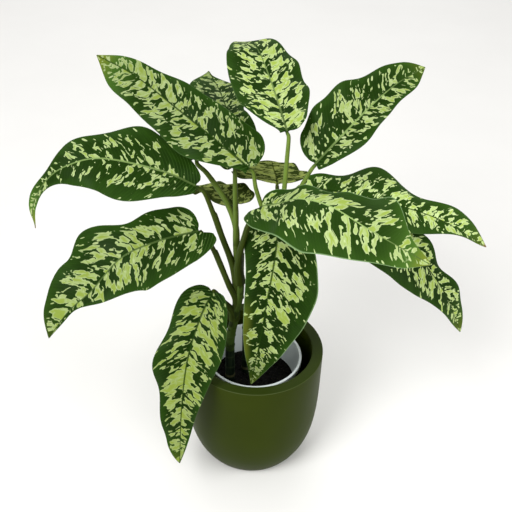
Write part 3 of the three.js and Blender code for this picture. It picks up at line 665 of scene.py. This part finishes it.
def peat_finish(values):
    """Damp peat: nearly black, with brown crumbs and pale fibres."""
    f = Finish("damp_peat")
    crumb = f.noise(f.place(), 320, 5, 0.7)
    patch = f.noise(f.place(), 38, 3, 0.6)
    fibre = f.noise(f.place(), 700, 1)
    f.paint(shade(values.peat, 0.45))
    f.paint(shade(values.peat, 1.7), f.ramp(crumb, 0.35, 0.65))
    f.paint(shade(values.peat, 0.6), f.ramp(patch, 0.5, 0.7) * 0.5)
    f.paint(FIBRE, f.ramp(fibre, 0.72, 0.8) * 0.6)
    f.bump(crumb + fibre * 0.4, 0.0016, 1.0)
    return f.finish(f.ramp(crumb, 0.3, 0.7, 0.7, 0.95), 0.1)


def floor_finish(values):
    """Pale and matt, with a faint cloudiness."""
    f = Finish("pale_floor")
    cloud = f.noise(f.place(), 2.5, 3)
    f.paint(values.floor)
    f.paint(shade(values.floor, 0.97), f.ramp(cloud, 0.3, 0.7))
    return f.finish(f.ramp(cloud, 0.3, 0.7, 0.55, 0.65))


# Making and shaping


def fresh():
    """Object mode with nothing selected."""
    if bpy.context.mode != "OBJECT":
        bpy.ops.object.mode_set(mode="OBJECT")
    bpy.ops.object.select_all(action="DESELECT")


def hold(piece):
    """Object mode with only this piece selected, and active."""
    fresh()
    bpy.context.view_layer.objects.active = piece
    piece.select_set(True)


def points(piece):
    places = np.empty(3 * len(piece.data.vertices))
    piece.data.vertices.foreach_get("co", places)
    return places.reshape(-1, 3)


def move_points(piece, places):
    piece.data.vertices.foreach_set("co", np.ascontiguousarray(places, dtype=np.float64).ravel())
    piece.data.update()


def note(piece, name, *numbers):
    """Stores three numbers at each point, for the finish to read."""
    attribute = piece.data.attributes.new(name, "FLOAT_VECTOR", "POINT")
    rows = np.empty((len(piece.data.vertices), 3), dtype=np.float32)
    for column, number in enumerate(numbers):
        rows[:, column] = number
    attribute.data.foreach_set("vector", rows.ravel())


def edit_edges(piece, chosen=None):
    """Edit mode with only the edges that chosen picks."""
    hold(piece)
    bpy.ops.object.mode_set(mode="EDIT")
    bpy.ops.mesh.select_mode(type="EDGE")
    bpy.ops.mesh.select_all(action="DESELECT")
    if chosen:
        bpy.ops.object.mode_set(mode="OBJECT")
        for edge in piece.data.edges:
            edge.select = chosen(edge)
        bpy.ops.object.mode_set(mode="EDIT")


def join(pieces, name):
    """Makes one piece of several."""
    fresh()
    for piece in pieces:
        piece.select_set(True)
    bpy.context.view_layer.objects.active = pieces[0]
    bpy.ops.object.join()
    pieces[0].name = name
    return pieces[0]


def smooth(piece, degrees):
    hold(piece)
    bpy.ops.object.shade_smooth_by_angle(angle=math.radians(degrees))


def dress(piece, slot, node, *materials):
    """Gives a finished piece its materials and its body, and hides the solid it stands for. slot is not used.
    """
    for material in materials:
        piece.data.materials.append(material)
    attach(piece, "root")
    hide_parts(node)


def turned(name, profile, sides):
    """A closed turned piece: a disc that is extruded and resized ring by ring along a profile in mm."""
    fresh()
    profile = [(radius * MM, level * MM) for radius, level in profile]
    radius, level = profile[0]
    bpy.ops.mesh.primitive_circle_add(vertices=sides, radius=radius, fill_type="NGON")
    piece = bpy.context.object
    piece.name = name
    move_points(piece, points(piece) + [0, 0, level])
    bpy.ops.object.mode_set(mode="EDIT")
    bpy.ops.mesh.select_mode(type="FACE")
    bpy.ops.mesh.select_all(action="SELECT")
    for next_radius, next_level in profile[1:]:
        bpy.ops.mesh.extrude_region_move(TRANSFORM_OT_translate={"value": (0, 0, next_level - level)})
        share = next_radius / radius
        bpy.ops.transform.resize(value=(share, share, 1), center_override=(0, 0, 0))
        radius, level = next_radius, next_level
    bpy.ops.mesh.select_all(action="SELECT")
    bpy.ops.mesh.normals_make_consistent(inside=False)
    bpy.ops.object.mode_set(mode="OBJECT")
    return piece


def rounded(corner, before, after, size, steps):
    """Points of a rounded corner of a profile."""
    corner, before, after = (np.array(p, float) for p in (corner, before, after))
    start = corner + (before - corner) * size / np.linalg.norm(before - corner)
    end = corner + (after - corner) * size / np.linalg.norm(after - corner)
    shares = np.linspace(0, 1, steps)
    return [tuple((1 - t) ** 2 * start + 2 * t * (1 - t) * corner + t * t * end) for t in shares]


def between(start, leaving, end, arriving, f):
    """The smooth way from start to end at share f, with its slopes at both."""
    return (start * (1 + 2 * f) * (1 - f) ** 2 + leaving * f * (1 - f) ** 2
            + end * f * f * (3 - 2 * f) + arriving * f * f * (f - 1))


def curve_through(line):
    """A function from shares of the length to places on a smooth curve, and that length, in metres."""
    p = np.array(line, float) * MM
    p = np.vstack([2 * p[0] - p[1], p, 2 * p[-1] - p[-2]])
    spans = len(line) - 1

    def at(t):
        t = np.clip(t, 0, 1) * spans
        i = np.minimum(t.astype(int), spans - 1)
        f = (t - i)[:, None]
        a, b, c, d = p[i], p[i + 1], p[i + 2], p[i + 3]
        return between(b, (c - a) / 2, c, (d - b) / 2, f)

    fine = np.linspace(0, 1, 401)
    steps = np.linalg.norm(np.diff(at(fine), axis=0), axis=1)
    lengths = np.concatenate([[0], np.cumsum(steps)])

    def by_share(share):
        return at(np.interp(np.atleast_1d(share) * lengths[-1], lengths, fine))

    return by_share, lengths[-1]


def unit(rows):
    return rows / np.linalg.norm(rows, axis=-1, keepdims=True)


def spread(values, s):
    """Values at shares s of a line through evenly spaced values."""
    values = np.array(values, float)
    stations = np.linspace(0, 1, len(values))
    if values.ndim == 1:
        return np.interp(s, stations, values)
    return np.stack([np.interp(s, stations, values[:, k]) for k in range(values.shape[1])], axis=-1)


# Pots and soil


def cachepot_radius(z):
    share = min(max(z / (CACHEPOT_TOP.z / MM), 0), 1)
    rim = CACHEPOT_TOP.x / MM
    return CACHEPOT_BELLY_RADIUS + (rim - CACHEPOT_BELLY_RADIUS) * (1 - (1 - share) ** CACHEPOT_BELLY_POWER)


def make_cachepot(values):
    """A bowl with a flat rim band: up the outside, over the rim, down the inside and along its floor."""
    top, rim = CACHEPOT_TOP.z / MM, CACHEPOT_TOP.x / MM
    wall, mouth = values.wall / MM, rim - values.rim_band / MM
    foot = (CACHEPOT_FOOT_RADIUS, 0)
    outside = [(cachepot_radius(z), z) for z in OUTSIDE_LEVELS]
    inside = [(cachepot_radius(z) - wall, z) for z in INSIDE_LEVELS]
    floor = (cachepot_radius(CACHEPOT_FLOOR) - wall - 8, CACHEPOT_FLOOR)
    profile = [(CACHEPOT_FOOT_RADIUS - 3, 0)]
    profile += rounded(foot, profile[0], outside[0], 1.5, 3)
    profile += outside
    profile += rounded((rim, top), (rim, top - 5), (rim - 5, top), 2.0, 6)
    profile += rounded((mouth, top), (mouth + 5, top), (mouth, top - 5), 1.8, 6)
    profile += rounded((mouth, top - 18), (mouth, top - 10), inside[0], 1.5, 4)
    profile += inside
    profile += rounded(floor, inside[-1], (0.1, CACHEPOT_FLOOR), 5, 4)
    profile.append((20, CACHEPOT_FLOOR))
    piece = turned("green_cachepot", profile, sides=112)
    smooth(piece, 35)
    dress(piece, "green_glaze", "cachepot", glaze_finish(values))


def nursery_radius(z, lip):
    foot, top = NURSERY_FOOT.z / MM, NURSERY_TOP.z / MM
    widest = NURSERY_TOP.x / MM - lip / MM
    return NURSERY_FOOT_RADIUS + (widest - NURSERY_FOOT_RADIUS) * (z - foot) / (top - foot)


def make_nursery_pot(values):
    """A thin tapered cup with a small lip."""
    foot, top, rim = NURSERY_FOOT.z / MM, NURSERY_TOP.z / MM, NURSERY_TOP.x / MM
    wall, lip = values.wall / MM, values.lip

    def outer(z):
        return (nursery_radius(z, lip), z)

    def inner(z):
        return (nursery_radius(z, lip) - wall, z)

    lip_foot = top - LIP_HEIGHT
    under_lip, lip_edge, mouth = outer(lip_foot), (rim, lip_foot + 0.8), inner(top)
    profile = [(NURSERY_FOOT_RADIUS - 4, foot)]
    profile += rounded((NURSERY_FOOT_RADIUS, foot), profile[0], outer(foot + 5), 2, 4)
    profile += [outer(z) for z in np.linspace(foot + 8, lip_foot - 1, 9)]
    profile += rounded(under_lip, outer(lip_foot - 3), lip_edge, 0.4, 3)
    profile += rounded(lip_edge, under_lip, (rim, top), 0.5, 3)
    profile += rounded((rim, top), (rim, lip_foot), mouth, 0.9, 5)
    profile += rounded(mouth, (rim, top), inner(lip_foot), 0.7, 4)
    profile += [inner(z) for z in np.linspace(top - 6, foot + wall + 3, 9)]
    profile += [(nursery_radius(foot, lip) - wall - 1, foot + wall), (15, foot + wall)]
    piece = turned("white_nursery_pot", profile, sides=96)
    smooth(piece, 35)
    dress(piece, "white_plastic", "nursery_pot", plastic_finish(values))


def soil_surface(radius, lump):
    """A square grid drawn out to a round one, with lumps that flatten out at its edge."""
    fresh()
    bpy.ops.mesh.primitive_grid_add(x_subdivisions=SOIL_SQUARES, y_subdivisions=SOIL_SQUARES, size=2)
    soil = bpy.context.object
    flat = points(soil)
    x = flat[:, 0] * np.sqrt(1 - flat[:, 1] ** 2 / 2)
    y = flat[:, 1] * np.sqrt(1 - flat[:, 0] ** 2 / 2)
    places = np.stack([x * radius, y * radius, np.zeros(len(x))], axis=1)
    for i, place in enumerate(places):
        spot = Vector(place)
        lumps = noise.fractal(spot * 60, 1.0, 2.0, 4) + 0.5 * noise.noise(spot * 260)
        inner = min((1 - math.hypot(x[i], y[i])) * 12, 1)
        places[i, 2] = SOIL_TOP * MM + lump * 0.6 * lumps * inner
    move_points(soil, places)
    return soil


def soil_crumbs(radius):
    """Lumpy crumbs, strewn over the soil."""
    fresh()
    bpy.ops.mesh.primitive_ico_sphere_add(subdivisions=2, radius=1)
    crumb = bpy.context.object
    ball = points(crumb)
    crumbs = []
    draw = np.random.default_rng(7)
    for i in range(CRUMBS):
        copy = crumb.copy()
        copy.data = crumb.data.copy()
        bpy.context.collection.objects.link(copy)
        size = draw.uniform(0.9, 2.6) * MM
        angle = draw.uniform(0, 2 * math.pi)
        out = (radius - 4 * MM) * math.sqrt(draw.uniform(0, 1))
        lumpy = np.array([1 + 0.35 * noise.noise(Vector(p) * 1.3 + Vector((i, 0, 0))) for p in ball])[:, None]
        stretch = draw.uniform(0.7, 1.3, 3)
        centre = [out * math.cos(angle), out * math.sin(angle), SOIL_TOP * MM + size * 0.2]
        move_points(copy, ball * lumpy * stretch * size + centre)
        crumbs.append(copy)
    bpy.data.objects.remove(crumb)
    return crumbs


def make_soil(values):
    """A lumpy disc of peat that fills the nursery pot, with crumbs on it."""
    pot = bpy.context.scene.dieffenbachia.nursery_pot
    inset = pot.wall / MM + SOIL_GAP
    foot = NURSERY_FOOT.z + pot.wall + 0.4 * MM
    radius = (nursery_radius(SOIL_TOP, pot.lip) - inset) * MM
    foot_radius = (nursery_radius(foot / MM, pot.lip) - inset) * MM
    soil = soil_surface(radius, values.lump)
    edit_edges(soil)
    bpy.ops.mesh.select_non_manifold()
    bpy.ops.mesh.extrude_edges_move(TRANSFORM_OT_translate={"value": (0, 0, foot - SOIL_TOP * MM)})
    share = foot_radius / radius
    bpy.ops.transform.resize(value=(share, share, 1), center_override=(0, 0, 0))
    bpy.ops.mesh.edge_face_add()
    bpy.ops.mesh.select_all(action="SELECT")
    bpy.ops.mesh.normals_make_consistent(inside=False)
    bpy.ops.object.mode_set(mode="OBJECT")
    piece = join([soil, *soil_crumbs(radius)], "peat")
    smooth(piece, 60)
    dress(piece, "peat", "soil", peat_finish(values))


# Canes and petioles


def bar(name, line, radius_at, age_at, seed, sides, steps, crowding, on_cane):
    """A round bar: a cylinder, subdivided into rings and bent along a curve through line. Each bar's seed
    gives it streaks of its own."""
    fresh()
    bpy.ops.mesh.primitive_cylinder_add(vertices=sides, radius=1, depth=1, end_fill_type="NGON")
    piece = bpy.context.object
    piece.name = name

    def is_upright(edge):
        first, last = (piece.data.vertices[index].co.z for index in edge.vertices)
        return abs(first - last) > 0.5

    edit_edges(piece, is_upright)
    bpy.ops.mesh.subdivide(number_cuts=steps - 1)
    bpy.ops.object.mode_set(mode="OBJECT")
    straight = points(piece)
    ring = np.rint((straight[:, 2] + 0.5) * steps).astype(int)
    angle = np.arctan2(straight[:, 1], straight[:, 0])
    cos, sin = np.cos(angle), np.sin(angle)
    shares = 1 - (1 - np.arange(steps + 1) / steps) ** crowding
    curve, length = curve_through(line)
    centres = curve(shares)
    tangents = unit(curve(np.minimum(shares + 0.002, 1)) - curve(np.maximum(shares - 0.002, 0)))
    normals = np.empty_like(tangents)
    normal = np.array([1.0, 0, 0])
    for i, tangent in enumerate(tangents):
        normal = unit(normal - tangent * normal.dot(tangent))
        normals[i] = normal
    binormals = np.cross(tangents, normals)
    share = shares[ring]
    radius = radius_at(share, centres[ring][:, 2], angle)[:, None]
    places = centres[ring] + radius * (normals[ring] * cos[:, None] + binormals[ring] * sin[:, None])
    move_points(piece, places)
    note(piece, "bar", cos, sin, share * length)
    note(piece, "growth", seed, age_at(share), places[:, 2])
    note(piece, "parts", share * (1 - on_cane), on_cane, 0)
    return piece


def cane_piece(cane, seed):
    """A cane, with low rings above the soil."""
    def radius_at(share, z, angle):
        radius = cane["foot"] + (cane["top"] - cane["foot"]) * share
        step = z / MM / RING_SPACING
        ridge = RING_HEIGHT * np.exp(-((step - np.rint(step)) / 0.07) ** 2)
        ringed = (z > RINGS_FOOT) & (z < RINGS_TOP)
        return (radius - RING_HEIGHT + np.where(ringed, ridge, 0.0)) * MM

    def age_at(share):
        return cane["age"]

    return bar("cane", cane["axis"], radius_at, age_at, seed, sides=28, steps=150, crowding=1, on_cane=1)


def swell(angle, middle, width):
    """1 at the middle angle of a bar's section, falling off to both sides."""
    return np.exp(-(np.angle(np.exp(1j * (angle - middle))) / width) ** 2)


def petiole_piece(leaf, cane, values, seed):
    """A petiole: it leaves the cane in a sheath, slims down, and ends under the base of the midrib."""
    curve, _ = curve_through(leaf["rib"])
    base, next_point = curve(0)[0] / MM, curve(FRAME_STEP)[0] / MM
    direction = unit(next_point - base)
    up = np.array(leaf["facing"][0], float)
    up = unit(up - direction * up.dot(direction))
    line = list(leaf["petiole"])
    for ahead, below in [(-leaf["hook"], HOOK_DEPTH), *PETIOLE_END]:
        line.append(tuple(base + direction * ahead - up * below))
    sheath = values.sheath_radius * leaf["sheath"]
    middle = values.stalk_radius * cane["stalk"]
    tip = values.petiole_radius * cane["petiole"]
    sheath_end = leaf["sheath_end"]

    def radius_at(share, z, angle):
        slim = np.minimum(share / 0.6, 1)
        radius = sheath + (middle - sheath) * slim * (2 - slim)
        radius = radius + (tip - middle) * np.clip((share - 0.6) / 0.4, 0, 1)
        radius = radius - 0.3 * tip * np.clip((share - 0.93) / 0.07, 0, 1)
        wing = np.where(share < sheath_end, np.clip((share - sheath_end + 0.3) / 0.3, 0, 1), 0)
        radius = radius + 1.5 * MM * wing * swell(angle, 0, 0.8)
        return radius * (1 - 0.16 * swell(angle, 1.2, 0.45) * np.clip(1.2 - share, 0, 1))

    def age_at(share):
        return np.clip(np.maximum(leaf["look"]["stalk"], 0.8 - share * 1.2), 0, 1)

    return bar("petiole", line, radius_at, age_at, seed, sides=20, steps=60, crowding=1.2, on_cane=0)


def make_stems(values):
    """Each cane, joined with the petioles that leave it."""
    material = cane_finish(values)
    for number, cane in enumerate(CANES, start=1):
        pieces = [cane_piece(cane, number * 3.1)]
        for index, leaf in enumerate(LEAVES):
            if leaf["cane"] == number:
                pieces.append(petiole_piece(leaf, cane, values, 5 + index * 1.7))
        piece = join(pieces, f"cane_{number}_with_petioles")
        smooth(piece, 50)
        dress(piece, cane["slot"], cane["name"], material)


# Leaves


def half_width(widths, s):
    """Half width of a blade at shares s, in millimetres: smooth through the widths at the stations."""
    places = np.array([BASE_STATION, *WIDTH_STATIONS, 1])
    values = np.array([(2 - BASE_NARROWING) * widths[0] - widths[1], *widths, 0])
    last = len(places) - 1
    before = np.maximum(np.arange(last + 1) - 1, 0)
    after = np.minimum(np.arange(last + 1) + 1, last)
    slopes = (values[after] - values[before]) / (places[after] - places[before])
    i = np.clip(np.searchsorted(places, s, side="right") - 1, 0, last - 1)
    step = places[i + 1] - places[i]
    width = between(values[i], step * slopes[i], values[i + 1], step * slopes[i + 1], (s - places[i]) / step)
    root = ROOT_HALF_WIDTH * (1 - s) ** 2
    bow = np.sqrt(1 - (1 - np.minimum(s / WIDTH_STATIONS[0], 1)) ** 2)
    return TIP_HALF_WIDTH + root + np.maximum(width - root, 0) * bow


def lobe_reach(leaf, s, reach):
    """How far the blade reaches back beside the petiole, in millimetres."""
    outer = np.clip((np.abs(reach) - LOBE_START) / (1 - LOBE_START), 0, 1)
    tuck = 1 - LOBE_TUCK * np.exp(-s / LOBE_TUCK_LENGTH)
    shape = np.clip(1 - s / LOBE_LENGTH, 0, 1) ** 2 * tuck * outer * (1 + LOBE_LEVEL - LOBE_LEVEL * outer)
    return np.where(reach < 0, *leaf["lobe"]) * shape


def blade_points(leaf, s, reach):
    """The upper surface at shares s of the midrib and signed shares reach of the half width: places, normals
    and the distance from the midrib in millimetres."""
    curve, _ = curve_through(leaf["rib"])
    centre = curve(s)
    direction = unit(curve(np.minimum(s + FRAME_STEP, 1)) - curve(np.maximum(s - FRAME_STEP, 0)))
    up = spread(unit(np.array(leaf["facing"], float)), s)
    up = unit(up - direction * np.sum(up * direction, axis=1, keepdims=True))
    sideways = np.cross(direction, up)
    on_left = reach < 0
    side = np.where(on_left, -1.0, 1.0)
    share = np.abs(reach)
    height, count, phase = leaf["wave"]
    turn = 2 * math.pi * count * s + phase + np.where(on_left, WAVE_LAG, 0)
    wave = np.sin(math.pi * np.clip(s, 0, 1)) ** WAVE_FADE * np.sin(turn)
    width = np.where(on_left, half_width(leaf["left"], s), half_width(leaf["right"], s))
    width = width + np.where(on_left, *leaf["scallop"]) * wave
    fold = np.radians(spread(leaf["fold"], s))
    bend = np.radians(np.where(on_left, *leaf["curl"])) / CURL_REFERENCE
    slope = fold - bend * share * width
    outward = side * (np.sin(fold) - np.sin(slope)) / bend
    rise = (np.cos(slope) - np.cos(fold)) / bend + height * wave * share**WAVE_POWER
    back = lobe_reach(leaf, s, reach)
    outward, rise, back = ((values * MM)[:, None] for values in (outward, rise, back))
    places = centre + sideways * outward + up * rise - direction * back
    normals = up * np.cos(slope)[:, None] - sideways * (side * np.sin(slope))[:, None]
    return places, normals, side * share * width


def make_leaf(leaf, values, index, upper, under):
    """A blade: a fine grid laid on the leaf's surface, thickened, with a groove above and a ridge below."""
    fresh()
    bpy.ops.mesh.primitive_grid_add(x_subdivisions=BLADE_COLUMNS, y_subdivisions=BLADE_ROWS, size=2)
    piece = bpy.context.object
    flat = points(piece)
    s = ((flat[:, 1] + 1) / 2) ** ROW_CROWDING
    reach = np.sign(flat[:, 0]) * np.abs(flat[:, 0]) ** COLUMN_CROWDING
    places, normals, across = blade_points(leaf, s, reach)
    move_points(piece, places)
    hold(piece)
    solidify = piece.modifiers.new("Thickness", "SOLIDIFY")
    solidify.thickness = values.thickness
    solidify.offset = -1.0
    solidify.material_offset = 1
    bpy.ops.object.modifier_apply(modifier=solidify.name)
    if len(piece.data.vertices) != 2 * len(places):
        raise RuntimeError(leaf["name"] + " has an upper and a lower side that don't match")
    groove = 0.7 * np.exp(-(across / 1.6) ** 2) * (1 - s)
    ridge = RIDGE_DEPTH * (1 - s) * np.exp(-(across / 2.6) ** 2)
    thin = values.thickness / MM * (1 - 0.4 * np.abs(reach) ** 3)
    upper_places = places - normals * (groove * MM)[:, None]
    lower_places = places - normals * ((thin + ridge) * MM)[:, None]
    move_points(piece, np.vstack([upper_places, lower_places]))

    # What the finish reads, the same on the upper and the lower side
    _, length = curve_through(leaf["rib"])
    across, s, reach = np.tile([across, s, reach], 2)
    along = s * length / MM - lobe_reach(leaf, s, reach)
    look = leaf["look"]
    note(piece, "blade", across, along, np.abs(reach))
    note(piece, "patches", index * 13.7 + 4.1, look["cover"], look["reach"])
    note(piece, "tone", look["plain_base"], look["pale_rib"], look["warm"])
    note(piece, "grain", look["short"], look["fine"], look["ground"])
    note(piece, "extent", s, look["lime_light"], look["margin"])
    note(piece, "ends", look["bright_tip"], look["brown_tip"], look["yellow_edge"])
    piece.name = leaf["name"].replace("leaf_", "blade_")
    smooth(piece, 60)
    dress(piece, leaf["slot"], leaf["name"], upper, under)


def make_leaves(values):
    """Each leaf, with an upper and an under finish, and painted sheen and shade in olive on the leaves at the
    back.
    """
    finishes = {
        slot: [leaf_finish(f"{slot}_{face}", values, face == "upper", slot == "leaf_shaded")
               for face in ("upper", "under")]
        for slot in ("leaf", "leaf_shaded")
    }
    for index, leaf in enumerate(LEAVES):
        make_leaf(leaf, values, index, *finishes[leaf["slot"]])


# Stage


def soft_light(name, place, aim, size, power):
    data = bpy.data.lights.new(name, "AREA")
    data.shape = "DISK"
    data.size = size
    data.energy = power
    light = bpy.data.objects.new(name, data)
    bpy.context.collection.objects.link(light)
    light.location = place
    light.rotation_euler = (Vector(aim) - Vector(place)).to_track_quat("-Z", "Y").to_euler()


def make_stage(values):
    """The floor, the light from all round, the soft lights and the camera."""
    fresh()
    bpy.ops.mesh.primitive_plane_add(size=FLOOR_SIZE, location=(0, 0, 0))
    floor = bpy.context.object
    floor.name = "floor"
    floor.data.materials.append(floor_finish(values))

    bpy.context.scene.view_settings.view_transform = "Standard"
    world = bpy.data.worlds.new("studio")
    bpy.context.scene.world = world
    world.use_nodes = True
    background = world.node_tree.nodes["Background"]
    background.inputs["Color"].default_value = (1, 1, 1, 1)
    background.inputs["Strength"].default_value = values.sky
    for name, light in LIGHTS.items():
        soft_light(name, *light)

    pitch, roll = math.radians(CAMERA_PITCH), math.radians(CAMERA_ROLL)
    forward = Vector((0, math.cos(pitch), -math.sin(pitch)))
    right, up = Vector((1, 0, 0)), Vector((0, math.sin(pitch), math.cos(pitch)))
    across = math.cos(roll) * right + math.sin(roll) * up
    upright = math.cos(roll) * up - math.sin(roll) * right
    data = bpy.data.cameras.new("camera")
    data.lens = CAMERA_LENS
    camera = bpy.data.objects.new("camera", data)
    bpy.context.collection.objects.link(camera)
    turn = Matrix((across, upright, -forward)).transposed().to_4x4()
    camera.matrix_world = Matrix.Translation(CAMERA_PLACE) @ turn
    bpy.context.scene.camera = camera


# Operators and panel


class DIEFFENBACHIA_OT_cachepot(Operator):
    """Make the green cachepot"""
    bl_idname = "dieffenbachia.cachepot"
    bl_label = "Cachepot"

    def execute(self, context):
        make_cachepot(context.scene.dieffenbachia.cachepot)
        return {"FINISHED"}


class DIEFFENBACHIA_OT_nursery_pot(Operator):
    """Make the white nursery pot"""
    bl_idname = "dieffenbachia.nursery_pot"
    bl_label = "Nursery pot"

    def execute(self, context):
        make_nursery_pot(context.scene.dieffenbachia.nursery_pot)
        return {"FINISHED"}


class DIEFFENBACHIA_OT_soil(Operator):
    """Make the soil and its crumbs"""
    bl_idname = "dieffenbachia.soil"
    bl_label = "Soil"

    def execute(self, context):
        make_soil(context.scene.dieffenbachia.soil)
        return {"FINISHED"}


class DIEFFENBACHIA_OT_stems(Operator):
    """Make the two canes with their petioles"""
    bl_idname = "dieffenbachia.stems"
    bl_label = "Canes and petioles"

    def execute(self, context):
        make_stems(context.scene.dieffenbachia.stems)
        return {"FINISHED"}


class DIEFFENBACHIA_OT_leaves(Operator):
    """Make the leaf blades"""
    bl_idname = "dieffenbachia.leaves"
    bl_label = "Leaves"

    def execute(self, context):
        make_leaves(context.scene.dieffenbachia.leaves)
        return {"FINISHED"}


class DIEFFENBACHIA_OT_stage(Operator):
    """Make the floor, the lights and the camera"""
    bl_idname = "dieffenbachia.stage"
    bl_label = "Stage"

    def execute(self, context):
        make_stage(context.scene.dieffenbachia.stage)
        return {"FINISHED"}


class DIEFFENBACHIA_PT_panel(Panel):
    """Values of the plant and the operators that make it"""
    bl_label = "Dieffenbachia"
    bl_idname = "DIEFFENBACHIA_PT_panel"
    bl_space_type = "VIEW_3D"
    bl_region_type = "UI"
    bl_category = "Dieffenbachia"

    def draw(self, context):
        for name in PlantValues.__annotations__:
            box = self.layout.box()
            values = getattr(context.scene.dieffenbachia, name)
            for key in values.__annotations__:
                box.prop(values, key)
            box.operator(f"dieffenbachia.{name}")


CLASSES = (
    CachepotValues, NurseryPotValues, SoilValues, StemValues, LeafValues, StageValues, PlantValues,
    DIEFFENBACHIA_OT_cachepot, DIEFFENBACHIA_OT_nursery_pot, DIEFFENBACHIA_OT_soil,
    DIEFFENBACHIA_OT_stems, DIEFFENBACHIA_OT_leaves, DIEFFENBACHIA_OT_stage, DIEFFENBACHIA_PT_panel,
)


def register():
    for cls in CLASSES:
        bpy.utils.register_class(cls)
    bpy.types.Scene.dieffenbachia = PointerProperty(type=PlantValues)


def unregister():
    del bpy.types.Scene.dieffenbachia
    for cls in reversed(CLASSES):
        bpy.utils.unregister_class(cls)


def main():
    register()
    bpy.ops.dieffenbachia.stage()
    bpy.ops.dieffenbachia.cachepot()
    bpy.ops.dieffenbachia.nursery_pot()
    bpy.ops.dieffenbachia.soil()
    bpy.ops.dieffenbachia.stems()
    bpy.ops.dieffenbachia.leaves()


if __name__ == "__main__":
    main()
